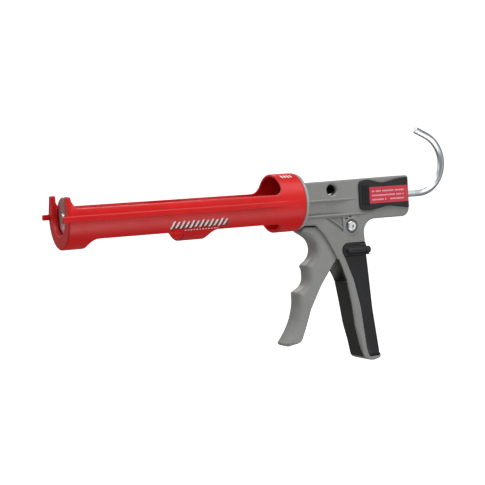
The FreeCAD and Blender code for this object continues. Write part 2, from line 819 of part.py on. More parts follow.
def make_spout_blade():
    points = [(pivot_x - 11.6, pivot_z - 3.0, 2), (pivot_x - 8.6, pivot_z - 10.2, 2.5)]
    points.append((pivot_x, pivot_z - 9.4, 4))
    points.append((pivot_x + 6.8, pivot_z - 5.0, 4))
    points.append((pivot_x + 7.0, pivot_z + 4, 5))
    points.append((pivot_x - 0.8, pivot_z + 14, 6))
    points.append((pivot_x - 1.0, 13.2, 2))
    points.append((43.0, 13.2, 0.4))
    points.append((42.4, 6.4, 3.0))
    points.append((32.6, 4.9, 1.0))
    points.append((36.0, -1.0, 3.0))
    points.append((46.0, pivot_z + 8, 8))
    blade = slab(points, blade_y, blade_y + blade_thick)
    blade = blade.cut(round_y(blade_y - 1, blade_y + 2, trigger_bush_r + 0.4, pivot_x, pivot_z))
    for x, z in blade_rivet_places():
        blade = blade.cut(round_y(blade_y - 1, blade_y + 2, rivet_r + screw_fit, x, z))
    return blade


def make_blade_rivets():
    rivets = []
    for x, z in blade_rivet_places():
        rivets.append(round_y(blade_y, -rivet_end, rivet_r, x, z))
    return Part.Compound(rivets)


def make_pivot_bolt():
    seat = -half_width + pivot_recess
    head = round_y(seat - bolt_head, seat, bolt_head_r, pivot_x, pivot_z)
    head = head.makeFillet(1.3, circles(head, lambda c: c.y < seat - 1))
    socket = hex_x(0, bolt_socket, bolt_socket_flats)
    socket.rotate(V(0, 0, 0), V(0, 0, 1), 90)
    socket.translate(V(pivot_x, seat - bolt_head - 0.1, pivot_z))
    shank = round_y(seat, -seat + nut_thick + 0.4, pivot_r, pivot_x, pivot_z)
    return head.cut(socket).fuse(shank).removeSplitter()


def make_pivot_nut():
    seat = half_width - pivot_recess
    nut = hex_x(0, nut_thick, nut_flats)
    nut.rotate(V(0, 0, 0), V(0, 0, 1), 90)
    nut.translate(V(pivot_x, seat, pivot_z))
    return nut.cut(round_y(seat - 1, seat + 4, pivot_r + screw_fit, pivot_x, pivot_z))


# ---- Drive and catch ----

def make_drive_plate(x_from):
    points = [(-plate_half_width, plate_top, 2.5), (plate_half_width, plate_top, 2.5)]
    points.append((plate_half_width, plate_shoulder, 1.5))
    points.append((plate_tail_half_width, plate_shoulder - 1.2, 0))
    points.append((plate_tail_half_width, plate_bottom, 1.0))
    points.append((-plate_tail_half_width, plate_bottom, 1.0))
    points.append((-plate_tail_half_width, plate_shoulder - 1.2, 0))
    points.append((-plate_half_width, plate_shoulder, 1.5))
    plate = slab(points, 0, plate_thick)
    plate.rotate(V(0, 0, 0), V(0, 0, 1), -90)
    plate.translate(V(x_from, 0, 0))
    return plate.cut(round_x(x_from - 1, x_from + plate_thick + 1, rod_hole_r))


def make_release_lever():
    front = catch_x - catch_thick / 2
    rear = catch_x + catch_thick / 2
    plate = box(front, rear, -catch_half_width, catch_half_width, catch_bottom, catch_pin_z)
    knuckle = round_y(-catch_half_width, catch_half_width, catch_pin_r + 1.1, catch_x, catch_pin_z)
    tab = box(front, housing_rear + catch_tab_out, -catch_tab_half_width, catch_tab_half_width,
              catch_bottom, catch_bottom + catch_tab)
    lever = plate.fuse([knuckle, tab]).removeSplitter()
    for shift in (-catch_play, catch_play):
        lever = lever.cut(round_x(front - 1, rear + 1, rod_hole_r, 0, shift))
    window = box(front - 1, rear + 1, -rod_hole_r, rod_hole_r, -catch_play, catch_play)
    lever = lever.cut(window)
    return lever.cut(round_y(-20, 20, catch_pin_r + pivot_fit, catch_x, catch_pin_z))


def make_catch_pin():
    return round_y(0.1 - blind_depth, blind_depth - 0.1, catch_pin_r, catch_x, catch_pin_z)


# ---- Finishing tool and thumb pad ----

def pad_profile(rear):
    """Wavy-edged pad, higher at its ends than in its middle."""
    middle = (tool_front + rear) / 2
    points = [(tool_front, -12.8, 5.0), (tool_front + 13, -13.4, 14.0)]
    points.append((middle + 4, -9.6, 26.0))
    points.append((rear, -13.4, 0.6))
    points.append((rear, 17.2, 0.6))
    points.append((rear - 11, 17.0, 14.0))
    points.append((middle - 3, 12.9, 22.0))
    points.append((tool_front + 10, 17.6, 12.0))
    points.append((tool_front, 15.6, 5.0))
    return points


def make_finishing_tool():
    inner = -half_width - tool_gap
    pad = slab(pad_profile(tool_rear), inner - tool_thick, inner)
    edges = side_edges(pad, half_width + tool_gap + tool_thick, lambda m: m.x < tool_rear - 1)
    pad = pad.makeFillet(0.7, edges)
    tongue = box(tool_front + 3.4, tool_rear, inner - 0.5, -half_width + tongue_deep,
                 tongue_z - tongue_half, tongue_z + tongue_half)
    tool = pad.fuse(tongue).removeSplitter()
    face = inner - tool_thick
    for i in range(thumb_ribs):
        x = tool_front + 2.6 + thumb_rib_pitch * i
        tool = tool.cut(box(x, x + thumb_rib_gap, face - 1, face + 0.4, -8.6, 11.6))
    return tool


def make_thumb_pad():
    pad = slab(pad_profile(tool_rear), half_width, half_width + tool_thick + tool_gap)
    edges = side_edges(pad, half_width + tool_gap + tool_thick, lambda m: m.x < tool_rear - 1)
    return pad.makeFillet(0.7, edges)


def make_tool_label():
    face = -half_width - tool_gap - tool_thick
    rear = tool_rear - 0.6
    points = [(label_front, label_low, 0.8), (rear, label_low, 0.8)]
    points.append((rear, label_high, 0.8))
    points.append((label_front, label_high, 0.8))
    return slab(points, face - label_thick, face)


def save(name, shape):
    shape.exportStep(os.path.join("parts", name + ".step"))


def main():
    os.makedirs("parts", exist_ok=True)
    housing_left, housing_right = make_housing_shells()
    save("housing_left", housing_left)
    save("housing_right", housing_right)
    save("housing_screws", make_housing_screws())
    save("swivel_collar", make_swivel_collar())
    save("collar_retainer", make_collar_retainer())
    save("retainer_screws", make_retainer_screws())
    save("front_bush", make_front_bush())
    save("rear_bush", make_rear_bush())
    save("pivot_bolt", make_pivot_bolt())
    save("pivot_nut", make_pivot_nut())
    save("catch_pin", make_catch_pin())
    save("front_grip", make_front_grip())
    save("rear_grip", make_rear_grip())
    save("grip_band", make_grip_band())
    save("thumb_pad", make_thumb_pad())
    save("cradle", make_cradle())
    save("cradle_marks", make_cradle_marks())
    save("plunger_rod", make_plunger_rod())
    save("piston_plate", make_piston_plate())
    save("piston_cone", make_piston_cone())
    save("piston_nut", make_piston_nut())
    save("piston_screw", make_piston_screw())
    save("trigger", make_trigger())
    save("trigger_bush", make_trigger_bush())
    save("drive_roller", make_drive_roller())
    save("spout_blade", make_spout_blade())
    save("blade_rivets", make_blade_rivets())
    save("drive_plate_front", make_drive_plate(plates_front))
    save("drive_plate_rear", make_drive_plate(plates_rear - plate_thick))
    spring_front = front_wall_rear + spring_end_gap
    spring_rear = plates_front - spring_end_gap
    save("drive_spring", coil_x(spring_front, spring_rear, spring_r, spring_wire_r, 8))
    save("release_lever", make_release_lever())
    lever_front = catch_x - catch_thick / 2
    gap = 0.2
    save("catch_spring", coil_x(catch_room_front + gap, lever_front - gap, spring_r, catch_wire_r, 2.5))
    save("finishing_tool", make_finishing_tool())
    save("tool_label", make_tool_label())
    save("punch_pin", make_punch_pin())
    save("punch_knob", make_punch_knob())


main()
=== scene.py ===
import math
import bmesh
import bpy
import numpy as np
from mathutils import Matrix, Vector


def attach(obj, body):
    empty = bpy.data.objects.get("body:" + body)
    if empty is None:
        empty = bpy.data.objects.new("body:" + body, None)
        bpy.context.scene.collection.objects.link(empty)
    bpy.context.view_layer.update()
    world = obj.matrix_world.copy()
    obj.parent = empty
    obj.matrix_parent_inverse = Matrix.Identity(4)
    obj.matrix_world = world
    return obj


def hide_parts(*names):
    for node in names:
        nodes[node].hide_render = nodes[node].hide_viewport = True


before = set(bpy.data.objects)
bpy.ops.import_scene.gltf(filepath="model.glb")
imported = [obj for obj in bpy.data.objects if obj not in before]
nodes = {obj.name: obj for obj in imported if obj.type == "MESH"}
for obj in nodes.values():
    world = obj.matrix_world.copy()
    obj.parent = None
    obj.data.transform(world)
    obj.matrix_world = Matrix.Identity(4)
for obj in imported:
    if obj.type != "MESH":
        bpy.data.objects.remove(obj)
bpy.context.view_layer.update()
mm = 0.001
print("frame loaded,", len(nodes), "nodes")

# shapes are worked out in millimetres, and place() turns them into metres


def rounded(a, b, r):
    # two distances meet in an edge of radius r: outside, the length of both, inside, the larger
    corner = np.sqrt(np.maximum(a + r, 0) ** 2 + np.maximum(b + r, 0) ** 2)
    return corner + np.minimum(np.maximum(a, b) + r, 0) - r


def join(a, b, k=0.8):
    # union with a fillet: the smaller distance less a quarter of the squared overlap of width k
    h = np.maximum(k - np.abs(a - b), 0)
    return np.minimum(a, b) - h * h / (4 * k)


def trim(a, b, k=0.8):
    # a less b: minus the join of -a and b, which softens the new edge over k
    return -join(-a, b, k)


def slab(v, middle, half):
    # distance from a slab: how far v lies from its middle, less half its thickness
    return np.abs(v - middle) - half


def fromAxis(u, v, at):
    # distance from a straight axis seen end on: the root of its two squared offsets
    return np.sqrt((u - at[0]) ** 2 + (v - at[1]) ** 2)


def slopeStep(v, start, end):
    # 0 before start, 1 after end, and between them three times the squared share less twice its cube
    t = np.clip((v - start) / (end - start), 0, 1)
    return t * t * (3 - 2 * t)


def outline(points, perCorner=7):
    # corner points (x, z, radius): each corner turns on an arc tangent to both of its sides
    p = np.array(points, float)
    here, r = p[:, :2], p[:, 2:3]
    back = np.roll(here, 1, 0) - here
    ahead = np.roll(here, -1, 0) - here
    back /= np.linalg.norm(back, axis=1, keepdims=True)
    ahead /= np.linalg.norm(ahead, axis=1, keepdims=True)
    half = np.arccos(np.clip((back * ahead).sum(1, keepdims=True), -1, 1)) / 2
    middle = back + ahead
    middle /= np.linalg.norm(middle, axis=1, keepdims=True)
    centre = here + middle * r / np.sin(half)
    start = here + back * r / np.tan(half) - centre
    end = here + ahead * r / np.tan(half) - centre
    turn = (math.pi - 2 * half)[:, None]
    t = np.linspace(0, 1, perCorner)[None, :, None]
    arc = (np.sin((1 - t) * turn) * start[:, None] + np.sin(t * turn) * end[:, None]) / np.sin(turn)
    arc = (arc + centre[:, None]).reshape(-1, 2)
    return arc[np.linalg.norm(arc - np.roll(arc, 1, 0), axis=1) > 1e-4]


def fromOutline(line, x, z):
    # signed distance in the side view: the nearest side, negative where a ray to the left crosses an odd
    # number of sides
    x, z = np.broadcast_arrays(x, z)
    near = np.full(x.shape, np.inf)
    inside = np.zeros(x.shape, bool)
    for (ax, az), (bx, bz) in zip(line, np.roll(line, -1, 0)):
        dx, dz = bx - ax, bz - az
        t = np.clip(((x - ax) * dx + (z - az) * dz) / (dx * dx + dz * dz), 0, 1)
        near = np.minimum(near, (x - ax - t * dx) ** 2 + (z - az - t * dz) ** 2)
        if az != bz:
            inside ^= ((az > z) != (bz > z)) & (x < ax + (z - az) * dx / dz)
    return np.where(inside, -1, 1) * np.sqrt(near)


def tabled(line, step=0.3, margin=8.0):
    # the same distance off a fine grid, worked out once and blended between its four nearest entries. The grid
    # goes on for the margin round the line, and a point beyond it takes the last entry
    low = line.min(0) - margin
    count = np.ceil((line.max(0) + margin - low) / step).astype(int) + 2
    gridX, gridZ = (low[i] + step * np.arange(count[i]) for i in (0, 1))
    table = fromOutline(line, gridX[:, None], gridZ[None, :])

    def look(x, z):
        # the sum of the four entries round a point, each times the share of the cell that lies opposite it
        x, z = np.broadcast_arrays(x, z)
        lastX, lastZ = count - 1.001  # so that the next entry is still in the table
        u = np.clip((x - low[0]) / step, 0, lastX)
        v = np.clip((z - low[1]) / step, 0, lastZ)
        i, j = u.astype(int), v.astype(int)
        u, v = u - i, v - j
        near = table[i, j] * (1 - v) + table[i, j + 1] * v
        far = table[i + 1, j] * (1 - v) + table[i + 1, j + 1] * v
        return near * (1 - u) + far * u

    return look


def place(name, points, faces, normals=None):
    # a smooth mesh object of points in millimetres, times 0.001, with its own normals where they are given
    mesh = bpy.data.meshes.new(name)
    mesh.from_pydata(points * mm, [], faces)
    mesh.shade_smooth()
    if normals is not None:
        mesh.normals_split_custom_set_from_vertices(normals)
    mesh.update()
    piece = bpy.data.objects.new(name, mesh)
    bpy.context.scene.collection.objects.link(piece)
    return piece


# in cells: the grid's margins, the step that finds a slope and the most that a point slides at once
mesher = {"before": 1.6, "after": 2.6, "probe": 0.1, "slide": 0.4, "slides": 4, "flattest": 0.05}


def moulded(name, low, high, cell, field):
    # the zero surface of a distance field in the box from low to high: one point in each grid cell that the
    # surface crosses, at the mean of the crossings on its edges, slid along the field's slope onto the surface,
    # and one quad round each crossed edge
    m = mesher
    axes = [np.arange(a - m["before"] * cell, b + m["after"] * cell, cell) for a, b in zip(low, high)]
    x, y, z = np.meshgrid(*axes, indexing="ij", sparse=True)
    value = np.broadcast_to(field(x, y, z), [len(a) for a in axes]).astype(np.float32)
    inside = value < 0
    nx, ny, nz = (n - 1 for n in inside.shape)
    corners = sum(inside[i:i + nx, j:j + ny, k:k + nz].astype(int)
                  for i in (0, 1) for j in (0, 1) for k in (0, 1))
    crossed = (corners > 0) & (corners < 8)
    index = np.full(crossed.shape, -1)
    index[crossed] = np.arange(crossed.sum())
    origin = np.argwhere(crossed)
    total, hits = np.zeros(origin.shape), np.zeros((len(origin), 1))
    for axis in range(3):
        step = np.eye(3, dtype=int)[axis]
        sides = np.eye(3, dtype=int)[[(axis + 1) % 3, (axis + 2) % 3]]
        for offset in (0 * step, sides[0], sides[1], sides[0] + sides[1]):
            start = value[tuple((origin + offset).T)]
            end = value[tuple((origin + offset + step).T)]
            hit = (start < 0) != (end < 0)
            t = np.where(hit, start / np.where(hit, start - end, 1), 0)[:, None]
            total += (origin + offset + t * step) * hit[:, None]
            hits += hit[:, None]
    points = total / hits * cell + [a[0] for a in axes]
    quads = []
    for axis in range(3):
        side = np.moveaxis(inside, axis, 0)
        cells = np.moveaxis(index, axis, 0)
        i, j, k = np.nonzero(side[:-1, 1:-1, 1:-1] != side[1:, 1:-1, 1:-1])
        quad = np.stack([cells[i, j, k], cells[i, j + 1, k], cells[i, j + 1, k + 1], cells[i, j, k + 1]], 1)
        turned = side[i, j + 1, k + 1] == (axis == 1)
        quad[turned] = quad[turned][:, ::-1]
        quads.append(quad)
    h, slide = cell * m["probe"], cell * m["slide"]
    for _ in range(m["slides"]):
        px, py, pz = points.T
        here = field(px, py, pz)
        ahead = field(px + h, py, pz), field(px, py + h, pz), field(px, py, pz + h)
        slope = (np.stack(ahead, 1) - here[:, None]) / h
        size = np.maximum((slope ** 2).sum(1, keepdims=True), m["flattest"])
        points -= np.clip(here[:, None] * slope / size, -slide, slide)
    piece = place(name, points, np.concatenate(quads), slope / np.sqrt(size))
    print(name, len(piece.data.polygons) * 2, "triangles")
    return piece


def ringFaces(rows, turns):
    # one quad between each point of a ring, the next point round, and the same two on the next ring
    i, j = [g.ravel() for g in np.meshgrid(np.arange(rows - 1), np.arange(turns), indexing="ij")]
    k = (j + 1) % turns
    faces = [i * turns + j, (i + 1) * turns + j, (i + 1) * turns + k, i * turns + k]
    return np.stack(faces, 1).tolist()


def merge(piece, near=1e-6):
    # welds poles and seams and turns every face outwards
    work = bmesh.new()
    work.from_mesh(piece.data)
    bmesh.ops.remove_doubles(work, verts=work.verts, dist=near)
    bmesh.ops.dissolve_degenerate(work, edges=work.edges, dist=near)
    bmesh.ops.recalc_face_normals(work, faces=work.faces)
    work.to_mesh(piece.data)
    work.free()
    piece.data.shade_smooth()
    piece.data.update()


def lathe(name, profile, centre=(0, 0, 0), axis="x", around=96, flats=0, flatness=0.0):
    # a profile (distance along the axis, radius) turned about the axis; flats press the radius into a polygon
    a, r = np.array(profile, float).T
    angle = np.linspace(0, 2 * math.pi, around, endpoint=False)
    press = np.ones(around)
    if flats:
        wedge = (angle % (2 * math.pi / flats)) - math.pi / flats
        press = 1 - flatness * (1 - math.cos(math.pi / flats) / np.cos(wedge))
    ring = r[:, None] * press[None]
    along = np.repeat(a[:, None], around, 1)
    u, v = ring * np.cos(angle), ring * np.sin(angle)
    points = np.stack({"x": (along, u, v), "z": (u, v, along)}[axis], -1).reshape(-1, 3) + centre
    piece = place(name, points, ringFaces(len(a), around))
    merge(piece)
    return piece


def dress(piece, material, body=None, replaces=()):
    # gives a piece its one material, and a new piece its body and the CAD nodes that it stands for
    piece.data.materials.clear()
    piece.data.materials.append(material)
    if body:
        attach(piece, body)
    if replaces:
        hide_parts(*replaces)
    return piece


def fromHex(code):
    # sRGB hex to the linear colour that the shader wants: a straight start, then the power 2.4
    srgb = [int(code[i:i + 2], 16) / 255 for i in (0, 2, 4)]
    return tuple(c / 12.92 if c <= 0.04045 else ((c + 0.055) / 1.055) ** 2.4 for c in srgb) + (1.0,)


def blobs(size):
    # the noise scale whose blobs are about size millimetres across
    return 0.6 / (size * mm)


def add(tree, kind, inputs, out=None, **settings):
    # one node with its settings and links. An input is a value or another node's output, and what comes back is
    # the output named by out, or the main one. Sockets that share a name go by number: in a Map Range 0 is the
    # value, 1 and 2 its span and 3 and 4 the new one, and in a colour Mix 0 is the share and 6 and 7 the colours
    node = tree.nodes.new(kind)
    for key, value in settings.items():
        setattr(node, key, value)
    for socket, value in inputs.items():
        if isinstance(value, bpy.types.NodeSocket):
            tree.links.new(value, node.inputs[socket])
        else:
            node.inputs[socket].default_value = value
    return node.outputs[out] if out else next((o for o in node.outputs if o.enabled), None)


def newTree(name):
    # a material with an empty node tree
    material = bpy.data.materials.new(name)
    material.use_nodes = True
    material.node_tree.nodes.clear()
    return material, material.node_tree


# what every plastic shares: sizes in millimetres, and the spans of noise or curvature that a pattern is cut from
moulding = {"cloud": (0.35, 0.65), "speck": (0.5, 0.72), "edge": (0.52, 0.60), "rub": 3.0, "wear": (0.2, 0.6),
            "crease": (0.485, 0.42), "patch": 9.0, "gloss": (0.3, 0.7), "duller": 0.06, "glossier": 0.04,
            "grainDepth": 0.3}


def plastic(name, look):
    # moulded plastic or rubber: an even colour with faint flow clouding and specks of the filler, a spark-eroded
    # grain that breaks up the gloss, edges rubbed lighter by hands and benches, and painted shade darkening the
    # creases
    material, tree = newTree(name)
    m = moulding
    where = add(tree, "ShaderNodeTexCoord", {}, out="Object")
    cloud = add(tree, "ShaderNodeTexNoise", {"Vector": where, "Scale": blobs(look["cloud"]), "Detail": 2.0})
    cloud = add(tree, "ShaderNodeMapRange", {0: cloud, 1: m["cloud"][0], 2: m["cloud"][1]})
    tones = {0: cloud, 6: fromHex(look["dark"]), 7: fromHex(look["light"])}
    colour = add(tree, "ShaderNodeMix", tones, data_type="RGBA")
    grain = add(tree, "ShaderNodeTexNoise", {"Vector": where, "Scale": blobs(look["grain"]), "Detail": 3.0})
    speck = add(tree, "ShaderNodeMapRange", {0: grain, 1: m["speck"][0], 2: m["speck"][1], 4: look["speck"]})
    colour = add(tree, "ShaderNodeMix", {0: speck, 6: colour, 7: fromHex(look["speckColour"])}, data_type="RGBA")
    bend = add(tree, "ShaderNodeNewGeometry", {}, out="Pointiness")
    edge = add(tree, "ShaderNodeMapRange", {0: bend, 1: m["edge"][0], 2: m["edge"][1]})
    rubbing = {"Vector": where, "Scale": blobs(m["rub"]), "Detail": 4.0, "Roughness": 0.7}
    rub = add(tree, "ShaderNodeTexNoise", rubbing)
    worn = add(tree, "ShaderNodeMath", {0: edge, 1: rub}, operation="MULTIPLY")
    worn = add(tree, "ShaderNodeMapRange", {0: worn, 1: m["wear"][0], 2: m["wear"][1], 4: look["wear"]})
    colour = add(tree, "ShaderNodeMix", {0: worn, 6: colour, 7: fromHex(look["wornColour"])}, data_type="RGBA")
    # painted shade: creases, found by their curvature, are mixed towards a dark shade colour
    crease = add(tree, "ShaderNodeMapRange", {0: bend, 1: m["crease"][0], 2: m["crease"][1], 4: look["creaseShade"]})
    colour = add(tree, "ShaderNodeMix", {0: crease, 6: colour, 7: fromHex(look["creaseShadeColour"])}, data_type="RGBA")
    patch = add(tree, "ShaderNodeTexNoise", {"Vector": where, "Scale": blobs(m["patch"]), "Detail": 3.0})
    sheen = {0: patch, 1: m["gloss"][0], 2: m["gloss"][1],
             3: look["rough"] - m["glossier"], 4: look["rough"] + m["duller"]}
    gloss = add(tree, "ShaderNodeMapRange", sheen)
    depth = look["grain"] * mm * m["grainDepth"]
    bump = add(tree, "ShaderNodeBump", {"Height": grain, "Strength": look["bump"], "Distance": depth})
    shader = add(tree, "ShaderNodeBsdfPrincipled",
                 {"Base Color": colour, "Roughness": gloss, "IOR": look["ior"], "Normal": bump})
    add(tree, "ShaderNodeOutputMaterial", {"Surface": shader})
    return material


# what every steel piece shares, in the same way
plating = {"patch": 14.0, "cloud": (0.3, 0.7), "mark": 3.5, "marked": (0.55, 0.75), "dull": 0.05,
           "streak": (0.3, 0.7), "even": 0.02, "bump": 0.02, "depth": 0.02}


def steel(name, look):
    # drawn, turned or rolled steel: a grey mirror with fine streaks along the way it was worked, cloudy patches
    # where the plating is thicker, and a few dull handling marks
    material, tree = newTree(name)
    p = plating
    where = add(tree, "ShaderNodeTexCoord", {}, out="Object")
    drawn = add(tree, "ShaderNodeMapping", {"Vector": where, "Scale": look["stretch"]})
    streak = add(tree, "ShaderNodeTexNoise", {"Vector": drawn, "Scale": blobs(look["streak"]), "Detail": 3.0})
    patch = add(tree, "ShaderNodeTexNoise", {"Vector": where, "Scale": blobs(p["patch"]), "Detail": 3.0})
    cloud = add(tree, "ShaderNodeMapRange", {0: patch, 1: p["cloud"][0], 2: p["cloud"][1]})
    tones = {0: cloud, 6: fromHex(look["dark"]), 7: fromHex(look["light"])}
    colour = add(tree, "ShaderNodeMix", tones, data_type="RGBA")
    handled = {"Vector": where, "Scale": blobs(p["mark"]), "Detail": 5.0, "Roughness": 0.7}
    mark = add(tree, "ShaderNodeTexNoise", handled)
    dull = add(tree, "ShaderNodeMapRange", {0: mark, 1: p["marked"][0], 2: p["marked"][1], 4: p["dull"]})
    sheen = {0: streak, 1: p["streak"][0], 2: p["streak"][1],
             3: look["rough"] - p["even"], 4: look["rough"] + p["even"]}
    shine = add(tree, "ShaderNodeMapRange", sheen)
    rough = add(tree, "ShaderNodeMath", {0: shine, 1: dull}, operation="ADD")
    bump = add(tree, "ShaderNodeBump", {"Height": streak, "Strength": p["bump"], "Distance": p["depth"] * mm})
    shader = add(tree, "ShaderNodeBsdfPrincipled",
                 {"Base Color": colour, "Metallic": 1.0, "Roughness": rough, "Normal": bump})
    add(tree, "ShaderNodeOutputMaterial", {"Surface": shader})
    return material


# sizes are in millimetres. A spark-eroded grain is about 0.1 mm across and a drawn streak finer still, and they
# are drawn at 0.6 to 0.9 mm, as coarse as they need to be to show

# glass-filled nylon moulded in deep red: saturated, with a soft sheen on its curves
redNylonLook = {"dark": "CC0307", "light": "D80509", "speck": 0.10, "speckColour": "E8282A", "cloud": 34.0,
                "grain": 0.9, "bump": 0.10, "rough": 0.40, "ior": 1.45, "wear": 0.30, "wornColour": "E84A48",
                "creaseShade": 0.35, "creaseShadeColour": "7A0305"}
# the same nylon in mid grey with a deeper mould texture: duller, with pale filler specks
greyNylonLook = {"dark": "7C7D7B", "light": "868785", "speck": 0.25, "speckColour": "A4A5A2", "cloud": 26.0,
                 "grain": 0.9, "bump": 0.22, "rough": 0.46, "ior": 1.48, "wear": 0.45, "wornColour": "B6B7B3",
                 "creaseShade": 0.6, "creaseShadeColour": "3A3B3A"}
# the trigger's copy of the grey nylon, a shade paler: painted light on the trigger
triggerLitNylonLook = dict(greyNylonLook, dark="858683", light="8F908D")
# turned acetal collar in a paler grey: smooth, a thin bright ring behind the red
collarLook = {"dark": "9A9C98", "light": "A6A8A4", "speck": 0.10, "speckColour": "B8B9B6", "cloud": 20.0,
              "grain": 0.8, "bump": 0.08, "rough": 0.36, "ior": 1.48, "wear": 0.30, "wornColour": "C4C5C2",
              "creaseShade": 0.4, "creaseShadeColour": "4A4B4A"}
# soft-touch rubber over the handle: near black and matt, greying where the palm rubs it
sideRubberLook = {"dark": "121316", "light": "17181B", "speck": 0.25, "speckColour": "242528", "cloud": 18.0,
                  "grain": 0.9, "bump": 0.35, "rough": 0.52, "ior": 1.45, "wear": 0.30, "wornColour": "4A4B4E",
                  "creaseShade": 0.3, "creaseShadeColour": "08080A"}
# the front strip's rubber is a harder, slightly green charcoal
stripRubberLook = {"dark": "25261F", "light": "2B2C26", "speck": 0.25, "speckColour": "3B3C36", "cloud": 18.0,
                   "grain": 0.9, "bump": 0.30, "rough": 0.58, "ior": 1.45, "wear": 0.25, "wornColour": "50514B",
                   "creaseShade": 0.3, "creaseShadeColour": "10110E"}
# moulded ABS pads: black with a satin sheen
blackAbsLook = {"dark": "0D0E10", "light": "121315", "speck": 0.15, "speckColour": "202124", "cloud": 15.0,
                "grain": 0.8, "bump": 0.18, "rough": 0.40, "ior": 1.46, "wear": 0.35, "wornColour": "46484B",
                "creaseShade": 0.3, "creaseShadeColour": "050506"}
# natural acetal bushes: milky off-white and waxy
acetalLook = {"dark": "CFCBC0", "light": "DAD6CC", "speck": 0.08, "speckColour": "E8E5DD", "cloud": 8.0,
              "grain": 0.8, "bump": 0.08, "rough": 0.34, "ior": 1.48, "wear": 0.20, "wornColour": "EEECE6",
              "creaseShade": 0.3, "creaseShadeColour": "8A867C"}
# pad-printed ink: opaque white that lets a little red through, and its black drop shadow
whiteInkLook = {"dark": "E8DEDC", "light": "F4EFEE", "speck": 0.30, "speckColour": "D09A98", "cloud": 3.0,
                "grain": 0.8, "bump": 0.05, "rough": 0.42, "ior": 1.46, "wear": 0.30, "wornColour": "DDA8A4",
                "creaseShade": 0.0, "creaseShadeColour": "A08080"}
blackInkLook = {"dark": "240A0A", "light": "2C0D0D", "speck": 0.30, "speckColour": "4A1414", "cloud": 3.0,
                "grain": 0.8, "bump": 0.05, "rough": 0.42, "ior": 1.46, "wear": 0.20, "wornColour": "6A2020",
                "creaseShade": 0.0, "creaseShadeColour": "100404"}
# the hexagon rod: bright zinc over cold-drawn steel, its streaks lengthwise
drawnZincLook = {"dark": "CDD1D5", "light": "E2E5E8", "stretch": (0.08, 1, 1), "streak": 0.7, "rough": 0.34}
# small turned and stamped parts under the same zinc
turnedZincLook = {"dark": "B9BBBE", "light": "D8DADC", "stretch": (1, 1, 1), "streak": 0.8, "rough": 0.27}
# oiled spring wire: darker and browner
springLook = {"dark": "6A6865", "light": "87857F", "stretch": (1, 1, 1), "streak": 0.6, "rough": 0.30}

redNylon = plastic("mouldedNylonRed", redNylonLook)
greyNylon = plastic("mouldedNylonGrey", greyNylonLook)
# painted light: the trigger's copy of the grey nylon is made a shade paler
triggerLitNylon = plastic("mouldedNylonGreyLitCopy", triggerLitNylonLook)
collarAcetal = plastic("turnedAcetalGrey", collarLook)
sideRubber = plastic("softTouchRubberBlack", sideRubberLook)
stripRubber = plastic("softTouchRubberCharcoal", stripRubberLook)
blackAbs = plastic("mouldedAbsBlack", blackAbsLook)
acetal = plastic("mouldedAcetalNatural", acetalLook)
whiteInk = plastic("padPrintInkWhite", whiteInkLook)
blackInk = plastic("padPrintInkBlack", blackInkLook)
drawnZinc = steel("drawnSteelBrightZinc", drawnZincLook)
turnedZinc = steel("turnedSteelBrightZinc", turnedZincLook)
springWire = steel("oiledSpringSteel", springLook)

# dashes and rows in millimetres: three rows of count steps, a share of the steps left blank by gap, and the
# parts of a step and of a row that the ink takes on each side of the middle
labelFilm = {"left": 81.0, "top": 7.2, "row": 4.1, "dash": 1.5, "count": 25.0, "rows": 3.0, "gap": 0.14,
             "wide": 0.4, "tall": 0.17, "dark": "BC1430", "light": "C81C3A", "ink": "DDA2AA", "patch": 10.0,
             "smooth": 0.26, "rough": 0.36, "peel": 1.2}


